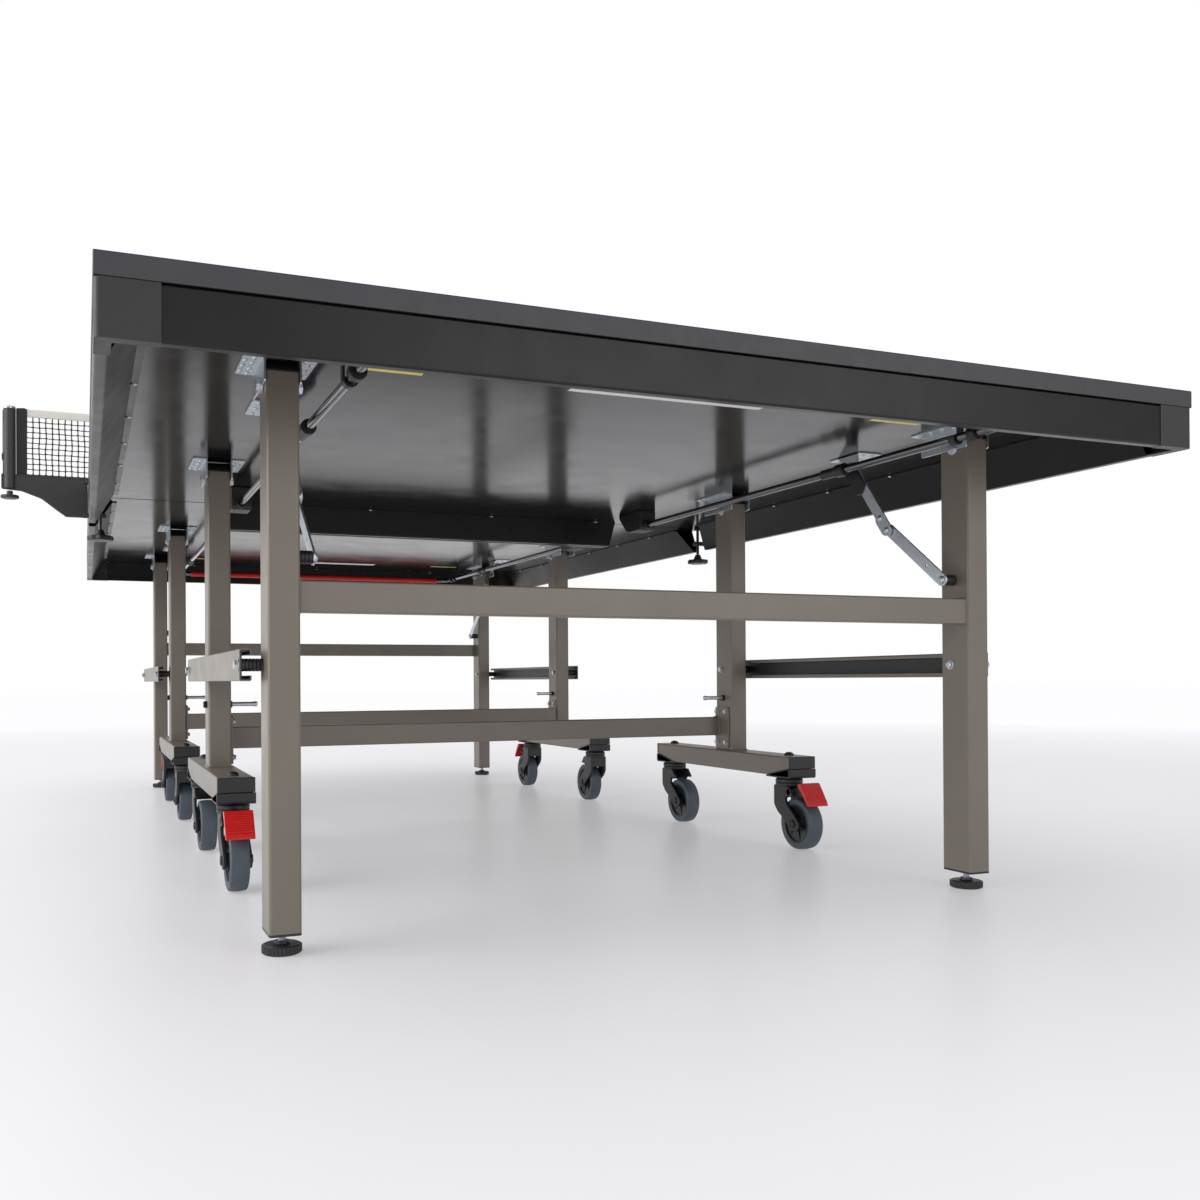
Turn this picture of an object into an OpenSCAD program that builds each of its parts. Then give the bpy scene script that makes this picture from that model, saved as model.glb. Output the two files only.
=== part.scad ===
// Competition ping pong table: two halves, each a wooden top in a steel apron that
// folds upright over its own wheeled T-leg trolley, with a clamp-on net.
// Origin: on the floor, under the centre of the net. X runs across the table,
// Y along it and Z up. Each half is drawn on the +Y side and mirrored for the near one.

/* [Playing surface] */
// Overall length of the playing surface
table_l = 2740; // [2600:10:2900]
// Width of the playing surface
table_w = 1525; // [1400:5:1600]
// Height of the playing surface above the floor
table_h = 760; // [740:5:780]
// Thickness of each half's wooden board
board_t = 25; // [19:1:25]
// Gap between the two boards under the net
halves_gap = 6; // [4:1:12]

/* [Apron] */
// Height of the steel apron under the board
apron_h = 60; // [40:1:60]
// Thickness of the apron sheet
apron_t = 2; // [1.5:0.5:3]
// Width of the end rail's inward bottom flange
apron_flange = 16; // [10:1:20]
// Width of a side rail's bottom flange
side_flange = 13; // [10:1:16]
// How far a side rail's sloping inner web leans inwards
web_lean = 36; // [30:1:40]
// Thickness of the hinge plates
plate_t = 2.5; // [2:0.5:3]
// Length of each side of a plastic corner cap
corner_l = 64; // [50:1:80]

/* [Legs] */
// Distance of the leg centres from the table's long centre line
leg_x = 545; // [520:5:560]
// Distance of the outer legs from the net
outer_leg_y = 1143; // [1120:1:1160]
// Distance of the T-legs from the net
t_leg_y = 465; // [450:1:480]
// Width of a leg tube across the table
leg_w = 40; // [35:1:45]
// Depth of a leg tube along the table
leg_d = 60; // [50:1:60]
// Wall thickness of the leg tubes
leg_wall = 2; // [1.5:0.5:3]
// Height of the stretchers
stretcher_h = 40; // [30:1:45]
// Depth of the stretchers
stretcher_d = 20; // [15:1:25]

/* [Trolley] */
// Length of a trolley's foot bar
foot_bar_l = 524; // [500:2:540]
// Height of a foot bar's top face
foot_bar_top = 182; // [180:1:186]
// Width of a foot bar
foot_bar_w = 60; // [50:1:60]
// Diameter of a caster wheel
wheel_dia = 100; // [90:1:100]
// Width of a caster wheel
wheel_w = 32; // [24:1:34]
// Distance from the swivel axis to the wheel axle
caster_trail = 40; // [30:1:40]

/* [Folding gear] */
// Height of the board's two pivots on each leg
pivot_z = 702; // [700:1:704]
// Height of the link bar's pivots
link_z = 357; // [340:1:370]
// Diameter of the pivot bolts
bolt_d = 8; // [6:1:10]
// Distance of the folding stays from the table's long centre line
stay_x = 501; // [500:1:502]
// Height of the stay's pivot on the outer leg
stay_leg_z = 492; // [480:1:500]
// Distance of the release rods from the table's long centre line
rod_x = 470; // [460:1:474]
// Diameter of the release rods
rod_d = 13; // [12:1:14]

/* [Net] */
// Height of the net above the playing surface
net_h = 152.5; // [150:0.5:154]
// Distance of the net posts beyond each side of the table
net_overhang = 152.5; // [150:0.5:154]
// Diameter of a net post
post_d = 24; // [20:1:28]

/* [Hidden] */
$fn = 48;

taupe = [0.50, 0.48, 0.44];
charcoal = [0.16, 0.16, 0.17];
blue_top = [0.10, 0.16, 0.30];
zinc = [0.70, 0.73, 0.76];
black = [0.07, 0.07, 0.08];
red = [0.80, 0.08, 0.08];
tyre_grey = [0.36, 0.39, 0.44];

run_gap = 0.05;                            // radial clearance of a bolt in its hole
board_in = halves_gap / 2;                 // inner end of a board
board_out = table_l / 2;                   // outer end of a board
under = table_h - board_t;                 // underside of the boards
apron_x = table_w / 2 - 1;                 // outer face of a side apron
apron_y = board_out - 1;                   // outer face of an end apron
apron_z = under - apron_h;                 // bottom of the apron
top_flange = 9.5;                          // width of a side rail's flange on the board
rail_end = 27;                             // net-side end of a side rail, at its bottom
rail_slope = 30;                           // how far that end slopes back at the board
cross_d = 17;                              // depth of the cross-piece beside the net
cross_low = 473;                           // half its length at the bottom
cross_high = 490;                          // half its length at the board
leg_top = pivot_z + 12;                    // top of a leg's steel tube
cap_r = under - pivot_z - 1;               // a leg's rounded top cap turns under the board
leg_bottom = 29;                           // bottom of an outer leg's steel tube
bar_bottom = foot_bar_top - 40;            // bottom of a foot bar
bar_mid = t_leg_y - 13;                    // a foot bar's middle lies a little inboard of its leg
bar_in = bar_mid - foot_bar_l / 2;
bar_out = bar_mid + foot_bar_l / 2;
caster_in = bar_in + 28;                   // swivel axis of an inner caster
caster_out = bar_out - 41;                 // swivel axis of an outer caster
shoe_bottom = bar_bottom - 3;
axle_z = wheel_dia / 2;
fork_top = 122;                            // underside of a fork's swivel disc
brake_pin = [28, 112];                     // a pedal's pin, from the swivel axis and the floor
upper_stretcher_z = 421;                   // bottom of the stretcher between the outer legs
lower_stretcher_z = 213;                   // bottom of the stretcher between the T-legs
upper_stretcher_y = outer_leg_y + leg_d / 2 - 5;   // its outward face
lower_stretcher_y = t_leg_y - 12;          // its outward face
link_in_y = t_leg_y - 10;                  // link bar bolt on a T-leg
link_out_y = outer_leg_y - 10;             // link bar bolt on an outer leg
stop_z = 295;                              // pin that stops a folding leg
stay_leg_y = outer_leg_y - 3;              // stay pivot on the outer leg
stay_board_y = outer_leg_y - 215;          // stay pivot under the board
stay_board_z = pivot_z + 8;
bracket_in = 69;                           // reach of the hinge plates towards the net
bracket_w = 25;                            // width of a hinge plate on the board
knee_drop = 20;                            // how far the stay's knee lies off its straight line
post_x = table_w / 2 + net_overhang;
clamp_d = 8;                               // net clamp screws
adjuster_d = 8;                            // net height screws
hook_w = 12;                               // width of a release rod's hook
screw_x = table_w / 2 - 24;                // net clamp screws
net_y = -9;                                // middle plane of the net clamps

// Knee of a stay, on the net side of the line between its two pivots
stay_dy = stay_board_y - stay_leg_y;
stay_dz = stay_board_z - stay_leg_z;
stay_span = sqrt(stay_dy * stay_dy + stay_dz * stay_dz);
knee_y = stay_leg_y + stay_dy / 2 - knee_drop * stay_dz / stay_span;
knee_z = stay_leg_z + stay_dz / 2 + knee_drop * stay_dy / stay_span;

// ---------------------------------------------------------------- helpers

module near() { mirror([0, 1, 0]) children(); }
module far() { children(); }
module both_sides() {
    children();
    mirror([1, 0, 0]) children();
}
module left() { mirror([1, 0, 0]) children(); }

// Rectangle with round corners, centred
module round_rect(w, h, r) {
    square([w - 2 * r, h], center = true);
    square([w, h - 2 * r], center = true);
    for (x = [-1, 1], y = [-1, 1])
        translate([x * (w / 2 - r), y * (h / 2 - r)]) circle(r = r);
}

// Hollow upright tube with round corners
module upright_tube(w, d, wall, z0, z1) {
    translate([0, 0, z0]) linear_extrude(z1 - z0) difference() {
        round_rect(w, d, 4);
        round_rect(w - 2 * wall, d - 2 * wall, 4 - wall / 2);
    }
}

// Cylinder along X between x0 and x1, through the point (y, z)
module x_rod(x0, x1, y, z, r) {
    translate([min(x0, x1), y, z]) rotate([0, 90, 0]) cylinder(r = r, h = abs(x1 - x0));
}

// Cylinder along Y from y0 to y1, through the point (x, z)
module y_rod(x, y0, y1, z, r) {
    translate([x, y0, z]) rotate([-90, 0, 0]) cylinder(r = r, h = y1 - y0);
}

// Plate across X: its outline is drawn with the first coordinate along Y and the second along Z
module x_plate(x0, x1) {
    translate([x0, 0, 0]) rotate([90, 0, 90]) linear_extrude(x1 - x0) children();
}

// Flat bar with round ends between two points of the (Y, Z) plane
module link_outline(y0, z0, y1, z1, w) {
    length = sqrt((y1 - y0) * (y1 - y0) + (z1 - z0) * (z1 - z0));
    translate([y0, z0]) rotate(atan2(z1 - z0, y1 - y0)) {
        translate([0, -w / 2]) square([length, w]);
        circle(d = w);
        translate([length, 0]) circle(d = w);
    }
}

// Pan head of a screw driven upwards, its seat at z
module screw_head(x, y, z, r = 4, h = 2.4) {
    translate([x, y, z - h]) cylinder(r1 = r * 0.7, r2 = r, h = h);
}

// ---------------------------------------------------------------- trolley

// Foot bar seen from the side, its lower corners cut away for the end shoes
module foot_bar_outline() {
    polygon([
        [bar_in, foot_bar_top], [bar_in, bar_bottom + 16], [bar_in + 74, bar_bottom],
        [bar_out - 74, bar_bottom], [bar_out, bar_bottom + 16], [bar_out, foot_bar_top]
    ]);
}

// Two T-legs: an upright tube welded on a foot bar, open where bolts and stems pass
module trolley_frame() color(taupe) both_sides() difference() {
    union() {
        translate([leg_x, t_leg_y, 0])
            upright_tube(leg_w, leg_d, leg_wall, foot_bar_top - 1, leg_top);
        difference() {
            x_plate(leg_x - foot_bar_w / 2, leg_x + foot_bar_w / 2) foot_bar_outline();
            translate([leg_x - foot_bar_w / 2 + 2, bar_in - 1, bar_bottom + 2])
                cube([foot_bar_w - 4, foot_bar_l + 2, 36]);
        }
    }
    for (p = [[t_leg_y, pivot_z], [link_in_y, link_z], [t_leg_y, stop_z]])
        x_rod(leg_x - 30, leg_x + 30, p[0], p[1], bolt_d / 2 + run_gap);
    for (y = [caster_in, caster_out]) translate([leg_x, y, bar_bottom - 1])
        cylinder(r = 5 + run_gap, h = 50);
}

// Cross tube between the T-legs with its bolted end plates
module trolley_stretcher() color(taupe) {
    x_end = leg_x - leg_w / 2;
    translate([-x_end + 4, lower_stretcher_y - stretcher_d, lower_stretcher_z])
        cube([2 * (x_end - 4), stretcher_d, stretcher_h]);
    both_sides() {
        translate([x_end - 4, t_leg_y - 27, lower_stretcher_z - 26])
            cube([3.9, 50, stretcher_h + 48]);
        for (y = [-19, 15], z = [-14, stretcher_h + 12])
            x_rod(x_end - 10, x_end - 4, t_leg_y + y, lower_stretcher_z + z, 4.5);
    }
}

// Plastic shoe that closes one end of a foot bar; dir is 1 at the outer end and -1 at the inner one
module end_shoe(y_end, dir) {
    half_w = foot_bar_w / 2;
    translate([leg_x, y_end, 0]) scale([1, dir, 1]) {
        // end plate, flush with the tube above and a little wider below
        x_plate(-half_w, half_w) polygon([
            [0, bar_bottom + 16], [3, bar_bottom + 16], [3, foot_bar_top], [0, foot_bar_top]]);
        x_plate(-half_w - 1, half_w + 1) polygon([
            [3.5, bar_bottom + 16.3], [3.5, shoe_bottom], [-76, shoe_bottom], [-76, bar_bottom - 0.1],
            [-74, bar_bottom - 0.1], [0, bar_bottom + 15.9], [0, bar_bottom + 16.3]]);
    }
}

// Shoes, leg top caps and the domed plugs over the caster stems
module trolley_caps() color(black) both_sides() {
    difference() {
        end_shoe(bar_out, 1);
        translate([leg_x, caster_out, bar_bottom - 10]) cylinder(r = 5 + run_gap, h = 30);
    }
    difference() {
        end_shoe(bar_in, -1);
        translate([leg_x, caster_in, bar_bottom - 10]) cylinder(r = 5 + run_gap, h = 30);
    }
    for (y = [caster_in, caster_out]) translate([leg_x, y, foot_bar_top]) {
        cylinder(r = 9, h = 3);
        translate([0, 0, 3]) cylinder(r1 = 9, r2 = 5, h = 4);
    }
    leg_top_cap(t_leg_y);
}

// Rounded cap that lets the leg turn under the board
module leg_top_cap(y) {
    intersection() {
        translate([leg_x - leg_w / 2, y - leg_d / 2, leg_top]) cube([leg_w, leg_d, 30]);
        x_rod(leg_x - leg_w / 2, leg_x + leg_w / 2, y, pivot_z, cap_r);
    }
}

// Stop pins, link bar bolts and their black bushes on the T-legs
module trolley_pins() color(zinc) both_sides() {
    x_in = leg_x - leg_w / 2;
    x_out = leg_x + leg_w / 2;
    x_rod(x_in - 46, x_out + 4, t_leg_y, stop_z, bolt_d / 2);
    translate([x_in - 46, t_leg_y, stop_z]) sphere(r = bolt_d / 2 + 1);
    x_rod(x_in - 5, x_in, t_leg_y, stop_z, 6.5);
    x_rod(x_out, x_out + 6, t_leg_y, stop_z, 6.5);
    link_bolt(link_in_y);
}

// Bolt, bush and head that carry one end of a link bar
module link_bolt(y) {
    x_in = leg_x - leg_w / 2;
    x_out = leg_x + leg_w / 2;
    x_rod(x_in - 4, x_out + 36, y, link_z, bolt_d / 2);
    x_rod(x_in - 5, x_in, y, link_z, 6.5);
    x_rod(x_out, x_out + 27.5, y, link_z, 8);
    x_rod(x_out + 30.5, x_out + 36, y, link_z, 7);
}

// ---------------------------------------------------------------- casters

// Outline of a fork's side plate, with the swivel axis at 0: a straight neck, a small gap over the
// tyre and a wide strut down to the axle
module fork_side(braked) {
    polygon([
        [-20, fork_top + 0.5], [-20, 84], [-8, 70], [6, 61], [31, 40], [46, 35], [56, 39], [61, 48],
        [58, 56], [42, 71], [27, 83], [20, 90], [17, 97], [24, 104], [40, 104], [40, 108],
        [26, fork_top + 0.5]]);
    if (braked) translate(brake_pin) circle(r = 7);
}

// Swivel fork of a caster; its swivel axis is at y and its axle at y + caster_trail
module fork(y, braked = false) color(black) translate([leg_x, y, 0]) {
    side_t = 6;
    inner = wheel_w / 2 + 1;
    outer = inner + side_t;
    translate([0, 0, fork_top]) cylinder(r = 27, h = shoe_bottom - 0.6 - fork_top);
    translate([0, 0, 130]) cylinder(r = 5, h = foot_bar_top - 10 - 130);
    translate([-inner, -20, 96]) cube([2 * inner, 5, fork_top + 0.5 - 96]);
    for (x = [inner, -outer]) x_plate(x, x + side_t) fork_side(braked);
    x_rod(-outer - 2, outer + 2, caster_trail, axle_z, 5);
    for (side = [-1, 1]) x_rod(side * outer, side * (outer + 3), caster_trail, axle_z, 8);
    if (braked) x_rod(-outer, outer, brake_pin[0], brake_pin[1], 3);
}

// Tyre and rim of a caster wheel
module wheel(y) color(tyre_grey) translate([leg_x, y + caster_trail, axle_z]) rotate([0, 90, 0])
    rotate_extrude($fn = 72) {
        r = wheel_dia / 2;
        w = wheel_w / 2;
        difference() {
            translate([5 + run_gap, -w - 0.6]) square([r - 5 - run_gap, 2 * w + 1.2]);
            translate([12, w - 5]) square([r - 24, 7]);
            translate([12, -w - 2]) square([r - 24, 7]);
            translate([r - 12, w]) square([13, 2]);
            translate([r - 12, -w - 2]) square([13, 2]);
            for (s = [-1, 1]) difference() {
                translate([r - 7, s > 0 ? w - 7 : -w - 1]) square([8, 8]);
                translate([r - 7, s * (w - 7)]) circle(r = 7);
            }
        }
    }

// Circle that keeps a pedal off the tyre: it is centred on the axle when the pedal is pressed
module tyre_room() translate(brake_pin + [24.6, -58.1]) circle(r = wheel_dia / 2 + 1.5);

// Red brake pedal, hooked over the wheel from a pin in the fork; pressed down, its round inner
// face closes on the tyre
module brake(y) color(red) translate([leg_x, y, 0]) difference() {
    union() {
        x_plate(-13, 13) difference() {
            polygon([[22, 106], [22, 117], [30, 118.5], [60, 124], [70, 117], [66, 107], [56, 103],
                [40, 103]]);
            tyre_room();
        }
        x_plate(-23, 23) difference() {
            polygon([[56, 126], [61, 132], [67, 132], [76, 119], [90, 98], [94, 90], [89, 87],
                [82, 98], [66, 116]]);
            tyre_room();
        }
    }
    x_rod(-14, 14, brake_pin[0], brake_pin[1], 3 + run_gap);
}

// ---------------------------------------------------------------- table top

// Wooden playing board of one half
module board() color(blue_top)
    translate([-table_w / 2, board_in, under]) cube([table_w, board_out - board_in, board_t]);

// Section of a side rail in the (X, Z) plane: outer web, bottom flange, an inner web that slopes
// in to the board, and the flange that is screwed to the board
module side_rail_section() {
    inner = apron_x - side_flange;
    top = inner - web_lean;
    polygon([
        [apron_x, under], [apron_x, apron_z], [inner, apron_z], [top, under - apron_t],
        [top - top_flange, under - apron_t], [top - top_flange, under], [top + 1.2, under],
        [inner + 1.2, apron_z + apron_t], [apron_x - apron_t, apron_z + apron_t],
        [apron_x - apron_t, under]]);
}

// Sheet-steel apron: two side rails, the end rail and the cross-piece beside the net
module apron() color(charcoal) {
    both_sides() difference() {
        translate([0, board_out - corner_l, 0]) rotate([90, 0, 0])
            linear_extrude(board_out - corner_l - rail_end) side_rail_section();
        // the net-side end slopes back to leave room for the net clamp
        x_plate(apron_x - 80, apron_x + 1) polygon([
            [rail_end - 1, apron_z - 1], [rail_end, apron_z - 1],
            [rail_end + rail_slope, under + 1], [rail_end - 1, under + 1]]);
    }
    end_l = table_w - 2 * corner_l;
    translate([-end_l / 2, apron_y - apron_t - 1, apron_z]) cube([end_l, apron_t, apron_h - 2.5]);
    translate([-end_l / 2, apron_y - apron_flange, apron_z])
        cube([end_l, apron_flange - 1, apron_t]);
    // angle that holds the end rail to the board
    translate([-end_l / 2, apron_y - apron_t, 0]) {
        translate([0, -21, under - apron_t]) cube([end_l, 20.5, apron_t]);
        translate([0, -3, under - 12]) cube([end_l, 2.2, 12]);
    }
    // cross-piece: a channel whose ends slope outwards to the board
    translate([0, board_in + cross_d, 0]) rotate([90, 0, 0]) linear_extrude(cross_d) polygon([
        [-cross_low, apron_z], [-cross_high, under], [cross_high, under], [cross_low, apron_z]]);
}

// Plastic corner caps that close the apron
module corner_caps() color(charcoal) both_sides() {
    x0 = table_w / 2 - corner_l;
    y0 = board_out - corner_l;
    difference() {
        translate([x0, y0, apron_z - 0.5]) cube([corner_l - 0.5, corner_l - 0.5, apron_h + 0.5]);
        translate([x0 - 1, y0 - 1, apron_z + 1.5]) cube([corner_l - 2.5, corner_l - 2.5, apron_h]);
        translate([x0 - 1, y0 - 1, apron_z - 2])
            cube([corner_l - apron_flange - 1, corner_l - apron_flange - 1, 10]);
    }
}

// Hinge bracket on the board around one leg: two angle plates and their bolt. Its plates
// reach from y - bracket_in to y + out
module hinge_bracket(y, out) {
    length = bracket_in + out;
    for (side = [-1, 1]) {
        face = leg_x + side * (leg_w / 2 + 0.5);
        x0 = side < 0 ? face - plate_t : face;
        x_plate(x0, x0 + plate_t) {
            translate([y - bracket_in, pivot_z - 2]) square([length, under - pivot_z + 2]);
            translate([y, pivot_z]) circle(r = 10);
        }
        far_edge = side < 0 ? face - bracket_w : face;
        translate([far_edge, y - bracket_in, under - plate_t]) cube([bracket_w, length, plate_t]);
        for (i = [0:3]) screw_head(
            face + side * (11 + 8 * (i % 2)), y - bracket_in + 12 + (length - 24) / 3 * i, under - 2.4);
        x_rod(leg_x, face + side * (plate_t + 3), y, pivot_z, bolt_d / 2);
        x_rod(face + side * (plate_t - 0.1), face + side * (plate_t + 6), y, pivot_z, 7);
    }
}

// Bracket that holds the upper end of a folding stay
module stay_bracket() {
    x0 = stay_x + 2;
    y0 = stay_board_y - bracket_in;
    length = bracket_in + 18;
    translate([x0, y0, under - plate_t]) cube([46, length, plate_t]);
    x_plate(x0, x0 + plate_t) polygon([
        [stay_board_y - 45, under], [stay_board_y - 12, stay_board_z - 8],
        [stay_board_y - 5, stay_board_z - 12], [stay_board_y + 6, stay_board_z - 11],
        [stay_board_y + 10, stay_board_z - 4], [stay_board_y + 10, under]]);
    for (x = [16, 36], y = [10, length - 10]) screw_head(x0 + x, y0 + y, under - 2.4);
    x_rod(stay_x - 9, stay_x + 4, stay_board_y, stay_board_z, bolt_d / 2);
    x_rod(stay_x - 9, stay_x - 4.5, stay_board_y, stay_board_z, 6.5);
}

// All zinc-plated hinge hardware under one board
module hinge_brackets() color(zinc) both_sides() {
    hinge_bracket(t_leg_y, 40);
    hinge_bracket(outer_leg_y, 30);
    stay_bracket();
}

// J-shaped hook under the board: a strap outside the release rod, bent under it to a short lip
module rod_hook(y) {
    bore = rod_d / 2 + 0.8;
    throat = bore - 0.3;
    outer = bore + 3;
    translate([rod_x, y + hook_w / 2, pivot_z]) rotate([90, 0, 0]) linear_extrude(hook_w) difference() {
        union() {
            circle(r = outer);
            square([outer, under - pivot_z]);
        }
        circle(r = bore);
        translate([-throat, 0]) square([2 * throat, under - pivot_z + 1]);
        translate([-outer - 1, 2.5]) square([outer + 1, under - pivot_z]);
    }
}

// Guides and end housings of the release rods
module bar_guides() color(black) both_sides() {
    rod_hook(1205);
    difference() {
        translate([rod_x - 20, 118, under - 46]) cube([40, 112, 46]);
        y_rod(rod_x, 150, 240, pivot_z, rod_d / 2 + 0.5);
        translate([rod_x - 21, 110, under - 60]) rotate([-40, 0, 0]) translate([0, -60, -30])
            cube([42, 60, 60]);
    }
}

// ---------------------------------------------------------------- outer legs

// Two outer legs and the stretcher welded between them
module leg_frame() color(taupe) {
    both_sides() difference() {
        translate([leg_x, outer_leg_y, 0]) upright_tube(leg_w, leg_d, leg_wall, leg_bottom, leg_top);
        x_rod(leg_x - 30, leg_x + 30, outer_leg_y, pivot_z, bolt_d / 2 + run_gap);
    }
    translate([-leg_x + leg_w / 2 - 1, upper_stretcher_y - stretcher_d, upper_stretcher_z])
        cube([2 * leg_x - leg_w + 2, stretcher_d, stretcher_h]);
}

// Plugs, caps, bushes and bolts on the outer legs
module leg_fittings() color(black) both_sides() {
    x_in = leg_x - leg_w / 2;
    leg_top_cap(outer_leg_y);
    difference() {
        translate([leg_x, outer_leg_y, leg_bottom - 3]) linear_extrude(3) round_rect(leg_w, leg_d, 4);
        translate([leg_x, outer_leg_y, 0]) cylinder(r = 5.2, h = 60);
    }
    x_out = leg_x + leg_w / 2;
    x_rod(x_out, x_out + 27.5, link_out_y, link_z, 8);
    x_rod(x_out + 27.5, x_out + 36, link_out_y, link_z, bolt_d / 2);
    x_rod(x_out + 30.5, x_out + 36, link_out_y, link_z, 7);
    x_rod(x_in - 5, x_in, link_out_y, link_z, 6.5);
    x_rod(stay_x + 4.2, x_in, stay_leg_y, stay_leg_z, 8.5);
    x_rod(stay_x - 2.5, stay_x + 4.2, stay_leg_y, stay_leg_z, bolt_d / 2);
    x_rod(stay_x - 3.5, stay_x + 0.2, stay_leg_y, stay_leg_z, 6.5);
}

// Levelling foot: a knurled disc on a threaded stem
module foot() color(black) translate([leg_x, outer_leg_y, 0]) {
    cylinder(r1 = 23.5, r2 = 25, h = 2);
    translate([0, 0, 2]) difference() {
        cylinder(r = 25, h = 8);
        for (i = [0:23]) rotate(15 * i) translate([25.6, 0, -1]) cylinder(r = 1.6, h = 10);
    }
    translate([0, 0, 10]) cylinder(r1 = 25, r2 = 22, h = 2);
    translate([0, 0, 12]) cylinder(r = 9, h = 4);
    translate([0, 0, 16]) cylinder(r = 5, h = 44);
}

// ---------------------------------------------------------------- folding gear

// Lipped channels that keep the outer legs parallel to the T-legs
module link_bars() color(taupe) both_sides() {
    x_in = leg_x + leg_w / 2 + 15;
    x_web = x_in + 13;
    y0 = link_in_y - 20;
    length = link_out_y + 9 - y0;
    difference() {
        translate([x_in, y0, link_z - 20]) cube([15, length, 40]);
        translate([x_in + 1.5, y0 - 1, link_z - 18]) cube([11.5, length + 2, 36]);
        translate([x_in - 1, y0 - 1, link_z - 13]) cube([4, length + 2, 26]);
        for (y = [link_in_y, link_out_y]) x_rod(x_web - 2, x_web + 4, y, link_z, bolt_d / 2 + run_gap);
    }
}

// Upper stay link with its black lever and knee rivet
module stay_upper() color(zinc) both_sides() difference() {
    union() {
        x_plate(stay_x - 3.5, stay_x - 0.5)
            link_outline(stay_board_y, stay_board_z, knee_y, knee_z, 20);
        x_rod(stay_x - 6, stay_x - 3.5, knee_y, knee_z, 7);
    }
    x_rod(stay_x - 10, stay_x + 1, stay_board_y, stay_board_z, bolt_d / 2 + run_gap);
}

// Lower stay link
module stay_lower() color(zinc) both_sides() difference() {
    union() {
        x_plate(stay_x + 0.5, stay_x + 3.5)
            link_outline(stay_leg_y, stay_leg_z, knee_y, knee_z, 20);
        x_rod(stay_x + 3.5, stay_x + 6, knee_y, knee_z, 7);
    }
    x_rod(stay_x - 1, stay_x + 5, stay_leg_y, stay_leg_z, bolt_d / 2 + run_gap);
}

// Release bar: two rods joined at the outer end by the red sleeved grip tube
module release_bar() color(red) {
    both_sides() {
        y_rod(rod_x, 200, 1295, pivot_z, rod_d / 2);
        for (y = [[885, 947], [1235, 1250]]) y_rod(rod_x, y[0], y[1], pivot_z, 11.5);
        translate([rod_x - 30, 1295, pivot_z]) rotate_extrude(angle = 90) translate([30, 0])
            circle(d = rod_d);
    }
    x_rod(-rod_x + 30, rod_x - 30, 1325, pivot_z, rod_d / 2);
    x_rod(-rod_x + 34, rod_x - 34, 1325, pivot_z, rod_d / 2 + 2.5);
}

// ---------------------------------------------------------------- net

// S-curved support arm with its clamp jaws, and the net post
module net_posts() color(black) both_sides() {
    arm_top = table_h + 12;
    arm_low = under - 47;
    edge = table_w / 2;
    post_low = under + 7;
    cap_z = table_h + net_h - 4;
    difference() {
        union() {
            translate([0, net_y + 5, 0]) rotate([90, 0, 0]) linear_extrude(10) polygon([
                [edge + 0.5, arm_low], [edge + 45, arm_low], [edge + 51, arm_low + 4],
                [edge + 60, arm_low + 12], [edge + 76, arm_low + 25], [edge + 92, arm_low + 35],
                [edge + 112, arm_low + 44], [edge + 130, arm_low + 50], [post_x + 16, under + 6],
                [post_x + 16, arm_top], [edge + 0.5, arm_top]]);
            translate([post_x, net_y, post_low]) cylinder(d = post_d, h = cap_z - post_low);
        }
        translate([post_x, net_y, under]) cylinder(r = adjuster_d / 2 + run_gap, h = 40);
    }
    // ring cap of the post
    translate([post_x, net_y, cap_z]) {
        cylinder(d = post_d - 3, h = 2);
        translate([0, 0, 2]) cylinder(d = post_d + 1, h = 3);
    }
    // upper jaw on the board and lower jaw with the screw's nut
    translate([edge - 34, net_y - 12, table_h]) cube([40, 19, 3]);
    translate([edge - 4, net_y - 12, table_h + 1]) cube([10, 19, 11]);
    difference() {
        translate([screw_x - 12, net_y - 7, arm_low]) cube([edge + 10 - screw_x + 12, 14, 10]);
        translate([screw_x, net_y, arm_low - 1]) cylinder(r = clamp_d / 2 + run_gap, h = 20);
    }
}

// Net between the posts, stepped over the clamp jaws at its lower corners
module net_mesh() color(black) {
    half = post_x - post_d / 2 - 0.5;
    inside_jaws = table_w / 2 - 36;
    translate([0, net_y + 1, 0]) rotate([90, 0, 0]) linear_extrude(2) polygon([
        [-half, table_h + net_h - 1], [-half, table_h + 12.5], [-inside_jaws, table_h + 12.5],
        [-inside_jaws, table_h + 2], [inside_jaws, table_h + 2], [inside_jaws, table_h + 12.5],
        [half, table_h + 12.5], [half, table_h + net_h - 1]]);
}

// Clamp screw with its pad and knob, under the board
module clamp_screw() color(black) translate([screw_x, net_y, under]) {
    translate([0, 0, -5.4]) cylinder(r = 9, h = 5);
    translate([0, 0, -76]) cylinder(d = clamp_d, h = 72);
    translate([0, 0, -84]) cylinder(r1 = 11, r2 = 7, h = 12);
    translate([0, 0, -95]) cylinder(r = 27, h = 11);
}

// Height adjuster with its knob, under the net post
module height_screw() color(black) translate([post_x, net_y, under]) {
    translate([0, 0, -8]) cylinder(d = adjuster_d, h = 40);
    translate([0, 0, -6]) cylinder(r = 7, h = 8);
    translate([0, 0, -14]) cylinder(r = 18, h = 8);
}

// ---------------------------------------------------------------- named parts

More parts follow.
